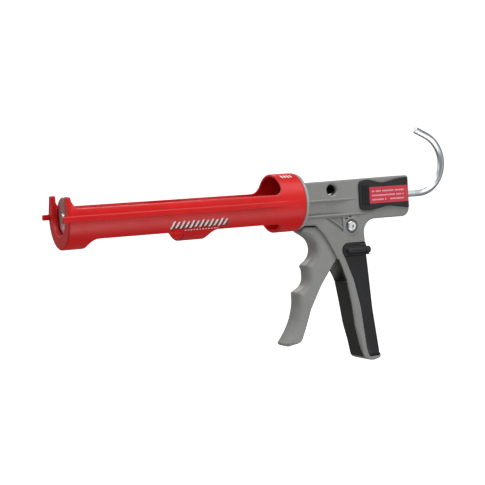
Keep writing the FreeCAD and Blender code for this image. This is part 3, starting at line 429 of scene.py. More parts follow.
def printedFilm(name, look):
    # glossy printed film: a red ground with three rows of plain pale dashes. Along a row each step is shown or
    # left blank by its own random number, and the lamination leaves a faint orange peel
    material, tree = newTree(name)
    where = add(tree, "ShaderNodeTexCoord", {}, out="Object")
    found = {axis: add(tree, "ShaderNodeSeparateXYZ", {0: where}, out=axis) for axis in ("X", "Z")}
    # each line is one Math node: what it finds, its operation, and what it takes
    steps = (("fromLeft", "SUBTRACT", "X", look["left"] * mm),
             ("across", "DIVIDE", "fromLeft", look["dash"] * mm),
             ("fromTop", "SUBTRACT", look["top"] * mm, "Z"),
             ("down", "DIVIDE", "fromTop", look["row"] * mm),
             ("column", "FLOOR", "across"),
             ("line", "FLOOR", "down"),
             ("toStepEnd", "PINGPONG", "across", 0.5),
             ("toRowEnd", "PINGPONG", "down", 0.5),
             ("inDash", "GREATER_THAN", "toStepEnd", 0.5 - look["wide"]),
             ("inLine", "GREATER_THAN", "toRowEnd", 0.5 - look["tall"]),
             ("inWidth", "COMPARE", "across", look["count"] / 2, look["count"] / 2),
             ("inHeight", "COMPARE", "down", look["rows"] / 2, look["rows"] / 2),
             ("dash", "MULTIPLY", "inDash", "inLine"),
             ("block", "MULTIPLY", "inWidth", "inHeight"),
             ("ink", "MULTIPLY", "dash", "block"))
    for result, operation, *taken in steps:
        taken = {i: found.get(v, v) for i, v in enumerate(taken)}
        found[result] = add(tree, "ShaderNodeMath", taken, operation=operation)
    cell = add(tree, "ShaderNodeCombineXYZ", {0: found["column"], 1: found["line"]})
    chance = add(tree, "ShaderNodeTexWhiteNoise", {"Vector": cell}, noise_dimensions="2D")
    shown = add(tree, "ShaderNodeMath", {0: chance, 1: look["gap"]}, operation="GREATER_THAN")
    ink = add(tree, "ShaderNodeMath", {0: found["ink"], 1: shown}, operation="MULTIPLY")
    patch = add(tree, "ShaderNodeTexNoise", {"Vector": where, "Scale": blobs(look["patch"]), "Detail": 2.0})
    tones = {0: patch, 6: fromHex(look["dark"]), 7: fromHex(look["light"])}
    ground = add(tree, "ShaderNodeMix", tones, data_type="RGBA")
    colour = add(tree, "ShaderNodeMix", {0: ink, 6: ground, 7: fromHex(look["ink"])}, data_type="RGBA")
    gloss = add(tree, "ShaderNodeMapRange", {0: patch, 1: 0.3, 2: 0.7, 3: look["smooth"], 4: look["rough"]})
    peel = add(tree, "ShaderNodeTexNoise", {"Vector": where, "Scale": blobs(look["peel"])})
    bump = add(tree, "ShaderNodeBump", {"Height": peel, "Strength": 0.06, "Distance": 0.1 * mm})
    shader = add(tree, "ShaderNodeBsdfPrincipled", {"Base Color": colour, "Roughness": gloss, "Normal": bump})
    add(tree, "ShaderNodeOutputMaterial", {"Surface": shader})
    return material


filmRed = printedFilm("printedFilmRed", labelFilm)
print("materials made")

# the cradle, in millimetres along the barrel, turned by a few degrees about it
cradle = {"length": 235.0, "inner": 25.3, "outer": 28.0, "edge": 1.4, "front": 4.0, "rear": 4.0, "mouth": 16.4,
          "mouthZ": 1.4, "turn": 2.2, "hornTop": 19.6, "hornRoot": 27.8, "hornTip": 24.2, "hornFoot": 3.8,
          "hornFrom": 4.5, "hornEdge": 0.8,
          "sideTop": 9.2, "sideBottom": -18.7, "ring": 24.0, "windowCorner": 8.0, "rampDrop": 2.4,
          "rampCrest": 1.0, "rampFoot": 4.0, "capTo": -60.0, "capEdge": 1.4, "bore": 13.08,
          "gaps": ((-214.5, -124.0), (-98.5, -24.0)), "gapFront": 9.0, "gapRear": 4.5,
          "rail": 29.8, "railZ": 0.2, "railHalf": 2.5, "railEdge": 0.7, "railRoot": 0.8, "railSunk": 0.4,
          "railFade": (-48.6, -11.3), "peg": -240.6, "pegEdge": 0.6, "soft": 1.1, "cell": 0.82}


def cradleField(x, y, z):
    # a tube less its hollow, its open top, its two lower gaps and its mouth, plus horns and rails
    c = cradle
    cosTurn, sinTurn = math.cos(math.radians(c["turn"])), math.sin(math.radians(c["turn"]))
    y, z = y * cosTurn + z * sinTurn, z * cosTurn - y * sinTurn
    radius = np.sqrt(y * y + z * z)
    middle = c["length"] / 2
    body = rounded(radius - c["outer"], slab(x, -middle, middle), c["edge"])
    # two horns on the front plate lean in towards their tips
    lean = (c["hornRoot"] - c["hornTip"]) / (c["hornTop"] - c["hornFrom"])
    hornSide = np.abs(y) + lean * np.maximum(z - c["hornFrom"], 0) - c["hornRoot"]
    plate = slab(x, c["front"] / 2 - c["length"], c["front"] / 2)
    horn = rounded(hornSide / math.hypot(1, lean), plate, c["hornEdge"])
    horn = np.maximum(horn, np.maximum(z - c["hornTop"], -z))
    body = join(body, horn, 0.5)
    back = -c["length"] + c["front"]
    hollow = rounded(radius - c["inner"], np.maximum(back - x, x + c["rear"]), 1.2)
    body = trim(body, hollow, c["soft"])
    # open top: level side walls, a rounded step up into the rear ring and a ramp up to the horns
    opening = rounded(x + c["ring"], c["sideTop"] - z, c["windowCorner"])
    rampRun, rampRise = c["hornFoot"], c["hornTop"] - c["rampDrop"] - c["sideTop"]
    ramp = (x - back - rampRun) * rampRise + (z - c["sideTop"]) * rampRun
    ramp = -ramp / math.hypot(rampRise, rampRun)
    opening = -join(-opening, -rounded(ramp, back - x, c["rampCrest"]), c["rampFoot"])
    body = trim(body, opening, c["soft"])
    body = trim(body, np.maximum(c["hornTop"] - z, x - c["capTo"]), c["capEdge"])
    for first, last in c["gaps"]:
        corner = np.where(x < (first + last) / 2, c["gapFront"], c["gapRear"])
        gap = rounded(slab(x, (first + last) / 2, (last - first) / 2), z - c["sideBottom"], corner)
        body = trim(body, gap, c["soft"])
    # the mouth is round below and goes straight up through the front plate, between the horns
    mouth = fromAxis(y, np.minimum(z, c["mouthZ"]), (0, c["mouthZ"])) - c["mouth"]
    body = trim(body, np.maximum(mouth, x - back - 1), c["soft"])
    body = trim(body, np.maximum(radius - c["bore"], -x - c["rear"] - 1), 0.5)
    # a rail on each side runs out in front as a peg and fades into the ring
    fadeFrom, fadeTo = c["railFade"]
    fade = np.clip((x - fadeFrom) / (fadeTo - fadeFrom), 0, 1)
    proud = c["rail"] - fade * (c["rail"] - c["outer"] + c["railSunk"])
    rail = rounded(np.abs(y) - proud, slab(z, c["railZ"], c["railHalf"]), c["railEdge"])
    rail = np.maximum(rail, c["inner"] + c["railRoot"] - np.abs(y))
    rail = rounded(rail, np.maximum(c["peg"] - x, x - fadeTo), c["pegEdge"])
    return join(body, rail, 0.7)


cradlePiece = moulded("cradleShell", (-240.6, -30, -28), (0, 30, 28), cradle["cell"], cradleField)
dress(cradlePiece, redNylon, "cradle_body", ["cradle"])

# plain bars and dots on the cradle's side and ring. Angles are in degrees about the barrel, from +Y towards +Z
marks = {"first": -137.4, "pitch": 4.75, "count": 12, "half": 1.05, "slant": 1.5, "angle": 207.0, "tall": 8.0,
         "radius": 28.12, "thick": 0.1, "shorter": 0.8, "power": 5}
shadows = dict(marks, first=-136.4, angle=209.4, radius=28.06)
dots = dict(marks, first=-124.0, pitch=2.9, half=0.75, slant=0.25, angle=219.5, tall=1.1)
ringBars = dict(marks, first=-17.6, pitch=3.1, count=4, half=0.85, slant=-0.5, angle=118.0, tall=5.2, radius=28.04)


def sideMarks(name, m, columns=9, rows=15):
    # slanted rounded bars bent round the cradle: a square grid pressed to a superellipse, with its width along X
    # and its height as an angle about the barrel, every other bar a little shorter
    u, v = np.meshgrid(np.linspace(-1, 1, columns), np.linspace(-1, 1, rows), indexing="ij")
    bulge = (np.abs(u) ** m["power"] + np.abs(v) ** m["power"]) ** (1 / m["power"])
    press = np.maximum(np.abs(u), np.abs(v)) / np.maximum(bulge, 1e-6)
    u, v = u * press, v * press
    bar = np.arange(m["count"])[:, None, None, None]
    layer = m["radius"] + np.array([0, m["thick"]])[None, :, None, None]
    x = m["first"] + m["pitch"] * bar + m["half"] * u + m["slant"] * v
    angle = np.radians(m["angle"] - m["tall"] * v * np.where(bar % 2 == 0, 1.0, m["shorter"]))
    x, angle, layer = np.broadcast_arrays(x, angle, layer)
    points = np.stack([x, layer * np.cos(angle), layer * np.sin(angle)], -1).reshape(-1, 3)
    grid = np.arange(len(points)).reshape(m["count"], 2, columns, rows)
    faces = [grid[..., :-1, :-1], grid[..., 1:, :-1], grid[..., 1:, 1:], grid[..., :-1, 1:]]
    faces = np.stack(faces, -1).reshape(-1, 4)
    rim = [grid[:, :, :-1, 0], grid[:, :, -1, :-1], grid[:, :, :0:-1, -1], grid[:, :, 0, :0:-1]]
    rim = np.concatenate(rim, 2)
    ahead = np.roll(rim, -1, 2)
    walls = np.stack([rim[:, 0], ahead[:, 0], ahead[:, 1], rim[:, 1]], -1).reshape(-1, 4)
    piece = place(name, points, np.concatenate([faces, walls]).tolist())
    merge(piece)
    return piece


dress(sideMarks("sideMarkShadows", shadows), blackInk, "cradle_body")
dress(sideMarks("sideMarkBars", marks), whiteInk, "cradle_body", ["cradle_marks"])
dress(sideMarks("ringMarkBars", ringBars), whiteInk, "cradle_body")
dress(sideMarks("sideMarkDots", dots), whiteInk, "cradle_body")
print("cradle done")

# the plunger rod: a hexagon measured across its flats, with a hook bent through sweep degrees
rod = {"flats": 6.35, "round": 0.45, "from": -228.8, "knots": (-60, 60), "bendAt": 146.5, "bend": 30.5,
       "sweep": 154.0, "tail": 15.0, "chamfer": 0.5, "endScale": 0.86, "around": 60, "perBend": 70, "sharp": 24}


def rodPath():
    # straight along X, an arc up and back over it, and a short straight tail
    r = rod
    t = np.radians(np.linspace(0, r["sweep"], r["perBend"]))
    arc = np.stack([r["bendAt"] + r["bend"] * np.sin(t), r["bend"] * (1 - np.cos(t))], 1)
    way = np.array([math.cos(t[-1]), math.sin(t[-1])])
    run = np.array([(x, 0) for x in (r["from"], *r["knots"])])
    path = np.concatenate([run, arc, arc[-1:] + way * (r["tail"] - r["chamfer"]), arc[-1:] + way * r["tail"]])
    straight = np.tile([1.0, 0.0], (len(run), 1))
    tangent = np.concatenate([straight, np.stack([np.cos(t), np.sin(t)], 1), [way, way]])
    return path, tangent


def rodPiece():
    # a hexagon with rounded corners carried along the path, corners up and down, closed at both ends
    path, tangent = rodPath()
    angle = np.linspace(0, 2 * math.pi, rod["around"], endpoint=False)
    wedge = (angle % (math.pi / 3)) - math.pi / 6
    flat = rod["flats"] / 2 / np.cos(wedge)
    corner = rod["flats"] / math.sqrt(3) - 0.55 * rod["round"]
    r = np.minimum(flat, corner)
    side, up = r * np.cos(angle + math.pi / 3), r * np.sin(angle + math.pi / 3)
    shrink = np.ones((len(path), 1))
    shrink[[0, -1]] = rod["endScale"]
    normal = np.stack([-tangent[:, 1], tangent[:, 0]], 1)
    x = path[:, :1] + normal[:, :1] * up * shrink
    z = path[:, 1:] + normal[:, 1:] * up * shrink
    rings = np.stack([x, side * shrink, z], -1)
    ends = np.insert(path[[0, -1]], 1, 0, axis=1)
    first, last = np.repeat(ends[:, None], rod["around"], 1)
    rings = np.concatenate([first[None], rings, last[None]])
    piece = place("plungerRod", rings.reshape(-1, 3), ringFaces(len(rings), rod["around"]))
    merge(piece)
    piece.data.set_sharp_from_angle(angle=math.radians(rod["sharp"]))
    return piece


dress(rodPiece(), drawnZinc, "rod_body", ["plunger_rod"])

piston = {"front": -230.4, "radius": 18.7, "lip": 1.5, "dish": 8.6}


def pistonPlate():
    # a pressed disc: flat centre, a cone up to a rolled rim, and the same offset behind for its thickness
    p = piston
    x, r, lip = p["front"], p["radius"], p["lip"]
    t = np.linspace(0, math.pi, 13)
    rim = np.stack([x + lip / 2 - lip / 2 * np.cos(t), r - lip / 2 + lip / 2 * np.sin(t)], 1)
    front = [(x + 0.9, 0.0), (x + 0.9, p["dish"] - 0.8), (x + 0.75, p["dish"]), (x + 0.15, r - 3.0), (x, r - 1.6)]
    back = [(x + lip, r - 2.0), (x + 1.6, r - 4.0), (x + 1.6, p["dish"]), (x + 1.6, 0.0)]
    return lathe("pistonPlate", np.concatenate([front, rim, back]))


dress(pistonPlate(), turnedZinc, "rod_body", ["piston_plate"])
print("rod done")

# the housing: Half is half of a width or height, Floor how far from the middle a cut stops, and a pair is a place
# (x, z), the start and end of a fade or two halves. Outlines are in the side view, as (x, z, corner radius)
housing = {"half": 13.5, "edge": 1.6, "front": 3.6, "cell": 0.56, "palm": 6.5, "palmDown": (60, 86),
           "palmAhead": (-66, -58), "channel": -7.95, "channelHalf": 6.65, "channelEnd": 63.0,
           "channelDepth": 1.15, "channelSlope": 0.115, "channelFade": (30, 62),
           "beads": ((-0.55, 66.0), (-15.35, 84.0)), "beadRadius": 1.3, "beadSunk": 0.1, "beadDrop": 1.1,
           "beadFade": 22.0, "triangle": (27.5, -17.6), "triangleEnd": 47.0, "triangleSide": (14.9, 19.5, 24.5),
           "rib": 3.4, "ribHalf": 0.9, "sunkFloor": 12.2, "pivot": (56.6, -27.1), "ring": 8.0, "ringHalf": 1.3,
           "ringProud": 0.5, "ringRoot": 11.5, "recess": 6.7, "recessFloor": 12.3, "pivotBore": 3.26,
           "pivotBoss": 7.2, "slots": ((51.2, -19.4), (55.6, -17.6)), "slotHalf": (1.3, 0.7),
           "room": 11.0, "bossHalf": 8.5, "cutter": (36.9, 9.2), "cutterHole": 5.35, "cutterBoss": 7.4,
           "bevel": 1.5, "rodWay": 4.4, "rearBush": 5.65, "rearBushFrom": 123.0, "frontBush": 6.05,
           "frontBushTo": 9.0, "lever": -12.4, "leverHalf": (5.5, 2.4), "leverFrom": 121.0,
           "spring": (116.0, -1.2), "springRoom": (7.0, 7.6, 14.2), "groove": 1.6, "grooveHalf": 3.6,
           "grooveFrom": 69.6, "grooveFloor": 11.3, "gripGap": 0.12, "stripGap": 0.1,
           "screwHead": 2.78, "screwFloor": 11.9,
           "screws": ((14.4, 11.0), (13.4, -13.6), (61.4, -9.8), (118.4, -17.0), (64.6, -38.6))}
handleFront = [(39.2, -58.8, 0), (46.6, -79.0, 60), (50.3, -101.0, 60), (53.6, -124.0, 80), (60.4, -150.4, 30),
               (62.6, -157.4, 7)]
handleBack = [(82.0, -151.0, 30), (77.0, -110.0, 150), (74.1, -66.0, 150), (72.0, -44.0, 40)]
housingLine = outline([(3.6, -23.3, 0.8), (17.0, -23.9, 4), (26.2, -34.6, 40), (33.6, -47.2, 40)] + handleFront
                      + [(73.0, -161.5, 14), (82.7, -158.9, 2.4)] + handleBack
                      + [(70.0, -21.6, 13), (125.8, -21.6, 8.5), (125.8, 19.2, 1.8), (3.6, 17.4, 0.8)])
chamberLine = outline([(9.0, 14.8, 1), (9.0, -20.8, 1), (11.8, -20.8, 0.5), (11.3, -34, 0), (24, -70, 0),
                       (40, -82, 0), (58, -82, 3), (66, -58, 3), (66.8, -42, 3), (66.8, -24.6, 3),
                       (64, -20.6, 3), (64, 14.8, 2)])
# the rubber down the handle's front, and the skin round its sides and back
strip = {"thick": 2.0, "thinner": 1.1, "thinDown": (100, 156), "top": -58.2, "lean": 0.96, "gate": 11.0,
         "gateTo": -82, "cell": 0.5}
stripBack = np.array([(38.6, -58.8), (46.4, -79.0), (50.3, -101.0), (53.6, -124.0), (60.4, -150.4), (62.6, -157.4),
                      (64.2, -163.0)])
grip = {"proud": 0.35, "thick": 1.8, "round": 4.2, "frontEdge": 0.5, "backFrom": (58, 68), "backLean": 0.05,
        "top": -43.4, "gap": 0.1, "cell": 0.5}
gripFront = [(41.4, -43.4, 6.5), (47.6, -57.6, 12), (56.3, -80.5, 60), (62.2, -107.0, 80), (66.5, -147.0, 20),
             (69.2, -156.8, 3.5)]
gripHalf = housing["half"] + grip["proud"]


def gripLine(inset):
    # the grip's outline in the side view, its back moved forward by the inset
    back = [(x - inset, z, r) for x, z, r in handleBack]
    return outline(gripFront + [(82.0 - inset, -156.8, 0.6)] + back[:-1] + [(72.2 - inset, grip["top"], 0.6)])


fromHousing = tabled(housingLine)
fromGrip = tabled(gripLine(0.0))
fromCore = tabled(gripLine(grip["thick"]))
fromChamber = tabled(chamberLine)


def handleShape(x, y, z):
    # the housing's side view given its thickness, with edges that grow from a small round on the body to the
    # palm-friendly round down the handle's front
    h = housing
    share = slopeStep(-z, *h["palmDown"]) * slopeStep(-x, *h["palmAhead"])
    return rounded(fromHousing(x, z), np.abs(y) - h["half"], h["edge"] + (h["palm"] - h["edge"]) * share)


def stripDepth(x, z):
    # how far a point lies behind the handle's front line, less the strip's thickness, squared up by its lean
    s = strip
    front = np.interp(-z, -stripBack[:, 1], stripBack[:, 0])
    depth = s["thick"] - s["thinner"] * slopeStep(-z, *s["thinDown"])
    return np.maximum((x - front - depth) * s["lean"], z - s["top"])


def gripShape(x, y, z, side, half, back):
    # the grip's side view given its thickness, sharp in front and well rounded at the back of the hand
    g = grip
    rear = slopeStep(x - g["backLean"] * (g["top"] - z), *g["backFrom"])
    return rounded(side(x, z), np.abs(y) - half, g["frontEdge"] + (back - g["frontEdge"]) * rear)


def gripCore(x, y, z):
    # the same shape smaller by the rubber's thickness, which is what the rubber is moulded over
    return gripShape(x, y, z, fromCore, gripHalf - grip["thick"], grip["round"] - grip["thick"])


def sideRelief(shape, x, z, side):
    # cuts the channel, deeper towards its foot, adds a half-round bead along each edge, and sinks a triangle
    # with a rib across it beside the pivot
    h = housing
    depth = (h["channelDepth"] - h["channelSlope"] * (z - h["channel"])) * (1 - slopeStep(x, *h["channelFade"]))
    channel = np.maximum(slab(z, h["channel"], h["channelHalf"]), x - h["channelEnd"])
    shape = trim(shape, rounded(channel, h["half"] - depth - side, 0.25), 0.3)
    for level, end in h["beads"]:
        sunk = h["beadSunk"] + h["beadDrop"] * slopeStep(x, end - h["beadFade"], end)
        bead = fromAxis(z, side + sunk, (level, h["half"])) - h["beadRadius"]
        shape = join(shape, np.maximum(bead, np.maximum(h["front"] - x, x - end)), 0.4)
    left, top = h["triangle"]
    rise, run, length = h["triangleSide"]
    slant = -((x - left) * rise + (z - top) * run) / length
    triangle = rounded(slant, np.maximum(z - top, x - h["triangleEnd"]), 0.8)
    rib = -slab(slant, -h["rib"], h["ribHalf"])
    return trim(shape, np.maximum(np.maximum(triangle, rib), h["sunkFloor"] - side), 0.4)


def pivotRelief(shape, x, z, side, fromPivot):
    # a raised ring round the pivot, a recess for the bolt inside it, two small slots above and the bolt's bore
    h = housing
    ring = rounded(slab(fromPivot, h["ring"], h["ringHalf"]), side - h["half"] - h["ringProud"], 0.5)
    shape = join(shape, np.maximum(ring, h["ringRoot"] - side), 0.5)
    shape = trim(shape, np.maximum(fromPivot - h["recess"], h["recessFloor"] - side), 0.4)
    for slotX, slotZ in h["slots"]:
        slot = np.maximum(slab(x, slotX, h["slotHalf"][0]), slab(z, slotZ, h["slotHalf"][1]))
        shape = trim(shape, np.maximum(slot, h["sunkFloor"] - side), 0.25)
    return np.maximum(shape, h["pivotBore"] - fromPivot)


def innerRoom(shape, x, y, z, side, fromPivot):
    # cuts the trigger's room, less the bosses of the pivot and the cutter, and the bevelled hole for the spout
    h = housing
    fromCutter = fromAxis(x, z, h["cutter"])
    room = rounded(fromChamber(x, z), side - h["room"], 0.6)
    room = np.maximum(room, -np.maximum(fromCutter - h["cutterBoss"], y + h["bossHalf"]))
    room = np.maximum(room, -np.maximum(fromPivot - h["pivotBoss"], h["bossHalf"] - side))
    shape = trim(shape, room, 0.5)
    bevel = np.clip(-y - h["half"] + h["bevel"], 0, 2)
    return trim(shape, np.maximum(fromCutter - h["cutterHole"] - bevel, y), 0.3)


def tailRooms(shape, x, y, z, side):
    # cuts the rod's way and its two bush seats, the release lever's slot and room, and the finishing tool's groove
    h = housing
    fromRod = fromAxis(y, z, (0, 0))
    shape = np.maximum(shape, h["rodWay"] - fromRod)
    shape = np.maximum(shape, -np.maximum(fromRod - h["rearBush"], h["rearBushFrom"] - x))
    shape = np.maximum(shape, -np.maximum(fromRod - h["frontBush"], x - h["frontBushTo"]))
    wide, tall = h["leverHalf"]
    lever = np.maximum(np.maximum(side - wide, slab(z, h["lever"], tall)), h["leverFrom"] - x)
    (middle, level), (long, wide, tall) = h["spring"], h["springRoom"]
    room = np.maximum(np.maximum(side - wide, slab(z, level, tall)), slab(x, middle, long))
    shape = trim(shape, np.minimum(lever, room), 0.4)
    groove = np.maximum(slab(z, h["groove"], h["grooveHalf"]), h["grooveFrom"] - x)
    return trim(shape, np.maximum(groove, y + h["grooveFloor"]), 0.3)


def housingField(x, y, z):
    # the handle's shape with its relief, less the seats of the black pieces and everything that is hollow
    shape = handleShape(x, y, z)
    side = np.abs(y)
    fromPivot = fromAxis(x, z, housing["pivot"])
    shape = sideRelief(shape, x, z, side)
    shape = pivotRelief(shape, x, z, side, fromPivot)
    taken = fromGrip(x, z) - housing["gripGap"]
    shape = trim(shape, np.maximum(taken, -gripCore(x, y, z)), 0.3)
    shape = trim(shape, stripDepth(x, z) - housing["stripGap"], 0.35)
    shape = innerRoom(shape, x, y, z, side, fromPivot)
    return tailRooms(shape, x, y, z, side)


def leftField(x, y, z):
    # the housing less everything on the right of its middle
    return trim(housingField(x, y, z), -y, 0.5)


def rightField(x, y, z):
    # the housing less everything on the left of its middle, and less five sunk screw heads
    heads = [fromAxis(x, z, screw) for screw in housing["screws"]]
    seats = np.maximum(np.minimum.reduce(heads) - housing["screwHead"], housing["screwFloor"] - y)
    return trim(trim(housingField(x, y, z), y, 0.5), seats, 0.3)


shell = moulded("housingLeft", (3.6, -14.6, -161.5), (125.8, 0, 19.3), housing["cell"], leftField)
dress(shell, greyNylon, "body", ["housing_left"])
shell = moulded("housingRight", (3.6, 0, -161.5), (125.8, 14.6, 19.3), housing["cell"], rightField)
dress(shell, greyNylon, "body", ["housing_right"])


def stripField(x, y, z):
    # the handle's shape in front of the strip's depth, less the gate that the trigger closes into
    shape = rounded(handleShape(x, y, z), stripDepth(x, z) + 0.05, 0.35)
    gate = np.maximum(np.abs(y) - strip["gate"], strip["gateTo"] - z)
    return trim(shape, gate, 0.4)


frontStrip = moulded("frontGripStrip", (38, -13.5, -161.5), (70, 13.5, -58), strip["cell"], stripField)
dress(frontStrip, stripRubber, "body", ["front_grip"])

# the band round the top of the handle, and the seal punch that is stored in its boss
band = {"proud": 1.0, "bottom": -56.0, "edge": 0.8, "bossTo": -12.9, "cell": 0.42}
punch = {"y": -15.2, "z": -51.0, "boss": 3.3, "bossFrom": 51.5, "seat": 69.5, "bore": 1.31, "knobRoom": 3.8,
         "knobGap": 0.3, "knobFlats": 8, "knobFlatness": 0.8}


def sideGripField(x, y, z):
    # the grip's shape below the band, less the core that it is moulded over
    outer = gripShape(x, y, z, fromGrip, gripHalf, grip["round"])
    return np.maximum(rounded(outer, z - band["bottom"] + grip["gap"], 0.5), -gripCore(x, y, z) + 0.05)


skin = moulded("rearGripSkin", (44, -13.9, -157), (83, 13.9, -56), grip["cell"], sideGripField)
dress(skin, sideRubber, "body", ["rear_grip"])

fromBand = tabled(outline([(41.4, -43.4, 6.5), (47.6, -57.6, 2), (60.0, -60.0, 0), (80.0, -60.0, 0),
                           (73.6, -50.0, 30), (72.85, -43.4, 1.2)]))


def bandField(x, y, z):
    # the grip's shape above the band's foot, less the core, plus a capsule for the punch, less the punch's room
    b, p = band, punch
    outer = gripShape(x, y, z, fromBand, housing["half"] + b["proud"], grip["round"])
    outer = rounded(outer, b["bottom"] - z, b["edge"])
    shape = np.maximum(outer, -gripCore(x, y, z) + 0.05)
    fromPunch = fromAxis(y, z, (p["y"], p["z"]))
    boss = np.hypot(np.maximum(p["bossFrom"] - x, 0), fromPunch) - p["boss"]
    boss = np.maximum(boss, x - p["seat"])
    shape = join(shape, np.maximum(boss, y - b["bossTo"]), 1.2)
    shape = trim(shape, np.maximum(fromPunch - p["knobRoom"], p["seat"] - x), 0.3)
    return np.maximum(shape, -np.maximum(fromPunch - p["bore"], p["bossFrom"] - x))


bandPiece = moulded("gripBand", (41, -18.3, -56.2), (75, 14.6, -43), band["cell"], bandField)
dress(bandPiece, sideRubber, "body", ["grip_band"])

# profiles are pairs of a distance along X and a radius
knobProfile = [(0, 0), (0, 2.6), (0.25, 3.1), (0.8, 3.5), (4.2, 3.5), (4.7, 3.15), (5.0, 2.6), (5.0, 1.3),
               (4.6, 1.0), (4.6, 0)]
knob = lathe("punchKnob", knobProfile, (punch["seat"] + punch["knobGap"], punch["y"], punch["z"]),
             flats=punch["knobFlats"], flatness=punch["knobFlatness"])
dress(knob, sideRubber, "punch_body", ["punch_knob"])
print("housing and grips done")

# the trigger: leadX is where its finger side ends at each depth below the barrel
trigger = {"half": 10.5, "edge": 1.6, "finger": 4.9, "fingerFrom": (24, 34), "leadFade": (-2, 9),
           "leadDown": (24, 40, 60, 88, 120, 134), "leadX": (16, 30, 20, 6, -6, -14), "cheek": 7.2,
           "gap": (41.0, 56.4), "gapHalf": 4.8, "gapFoot": -21.3, "ribs": (-84, -103), "ribHalf": 1.2,
           "channelHalf": 7.7, "bore": 4.65, "roller": (53.05, -17.5), "rollerBore": 1.85, "cell": 0.56}
fromTrigger = tabled(outline([(4.6, -24.4, 2.0), (2.7, -29.0, 2.5), (15.6, -38.2, 14), (18.6, -52.6, 13),
                              (5.6, -62.0, 2.4), (7.6, -67.0, 6), (7.6, -80.2, 11), (-5.0, -86.8, 2.6),
                              (-4.8, -99.0, 40), (-9.6, -114.5, 40), (-15.6, -124.6, 30), (-24.0, -135.4, 2.0),
                              (-16.6, -138.0, 5), (-4.4, -134.8, 9), (2.4, -119.5, 30), (8.2, -104.2, 40),
                              (21.4, -81.6, 60), (39.6, -58.2, 1.5), (49.0, -40.0, 6), (54.2, -35.1, 5),
                              (64.6, -35.1, 7.8), (64.6, -19.1, 7.2), (57.25, -19.1, 0), (57.25, -13.6, 2.5),
                              (49.45, -13.6, 2.5), (49.45, -23.5, 0.5), (36.0, -23.9, 2), (30.0, -26.0, 2),
                              (17.5, -24.8, 2)]))
fromCheek = tabled(outline([(28, 4, 0), (80, 4, 0), (80, -46, 0), (46, -46, 2), (28, -29, 2)]))
fromChannel = tabled(outline([(7.0, -92.0, 3), (0.5, -101.0, 10), (-3.6, -113.0, 10), (-9.4, -124.0, 3),
                              (-4.0, -122.0, 3), (30.0, -122.0, 0), (60.0, -70.0, 0), (24.0, -70.0, 3)]))


def triggerField(x, y, z):
    # the side view given its thickness, less the cheeks, the blade's gap and the ribbed hollow in its back. The
    # finger side is nearly half round, and the palm side is only eased
    t = trigger
    side = np.abs(y)
    lead = np.interp(-z, t["leadDown"], t["leadX"])
    front = 1 - slopeStep(x - lead, *t["leadFade"])
    r = t["edge"] + t["finger"] * front * slopeStep(-z, *t["fingerFrom"])
    shape = rounded(fromTrigger(x, z), side - t["half"], r)
    shape = trim(shape, np.maximum(fromCheek(x, z), t["cheek"] - side), 0.6)
    gapFrom, gapTo = t["gap"]
    gap = np.maximum(np.maximum(gapFrom - x, x - gapTo), np.maximum(side - t["gapHalf"], t["gapFoot"] - z))
    shape = trim(shape, gap, 0.3)
    ribs = np.minimum.reduce([slab(z, level, t["ribHalf"]) for level in t["ribs"]])
    hollow = np.maximum(rounded(fromChannel(x, z), side - t["channelHalf"], 1.2), -ribs)
    shape = trim(shape, hollow, 0.7)
    shape = np.maximum(shape, t["bore"] - fromAxis(x, z, housing["pivot"]))
    return np.maximum(shape, t["rollerBore"] - fromAxis(x, z, t["roller"]))


lever = moulded("triggerLever", (-26, -10.5, -138), (65, 10.5, -13), trigger["cell"], triggerField)
dress(lever, triggerLitNylon, "trigger_body", ["trigger"])
print("trigger done")

# the finishing tool on the left of the tail and the thumb pad on its right share one wavy slab
pad = {"front": 66.6, "rear": 124.5, "thick": 1.6, "gap": 0.15, "edge": 0.55, "grooves": 5, "grooveFrom": 2.95,
       "groovePitch": 1.9, "grooveHalf": (0.42, 10.1), "grooveZ": 1.5, "grooveDeep": 0.45, "tongueFrom": 70.0,
       "tongue": (12.8, 1.6), "tongueHalf": (1.3, 3.4), "cell": 0.4}
fromPad = tabled(outline([(66.6, -12.8, 5), (79.6, -13.4, 14), (100.2, -9.6, 26), (124.5, -13.2, 0.6),
                          (124.5, 17.2, 0.6), (114.8, 17.0, 14), (93.2, 12.9, 22), (76.6, 17.6, 12),
                          (66.6, 15.6, 5)]))


def padShape(x, y, z, inner):
    # the side view given its thickness outwards from inner, with a soft rim and thumb grooves near its front
    outer = inner + pad["thick"]
    shape = rounded(fromPad(x, z), np.maximum(y - outer, inner - y), pad["edge"])
    pitch = (x - pad["front"] - pad["grooveFrom"]) / pad["groovePitch"]
    nearest = np.clip(np.round(pitch), 0, pad["grooves"] - 1)
    wide, tall = pad["grooveHalf"]
    groove = rounded(np.abs(pitch - nearest) * pad["groovePitch"] - wide, slab(z, pad["grooveZ"], tall), 0.3)
    return trim(shape, np.maximum(groove, outer - pad["grooveDeep"] - y), 0.25)


def toolField(x, y, z):
    # the pad a little off the left wall, joined to a straight tongue that slides in the wall's groove
    (out, level), (deep, tall) = pad["tongue"], pad["tongueHalf"]
    along = np.maximum(pad["tongueFrom"] - x, x - pad["rear"])
    tongue = np.maximum(along, np.maximum(slab(z, level, tall), slab(-y, out, deep)))
    return np.minimum(padShape(x, -y, z, housing["half"] + pad["gap"]), tongue)


def thumbField(x, y, z):
    # the pad standing on the right wall
    return padShape(x, y, z, housing["half"])


tool = moulded("finishingTool", (66, -15.4, -14), (125, -11, 18), pad["cell"], toolField)
dress(tool, blackAbs, "tool_body", ["finishing_tool"])
thumb = moulded("thumbPad", (66, 13.4, -14), (126, 15.4, 18), pad["cell"], thumbField)
dress(thumb, blackAbs, "body", ["thumb_pad"])

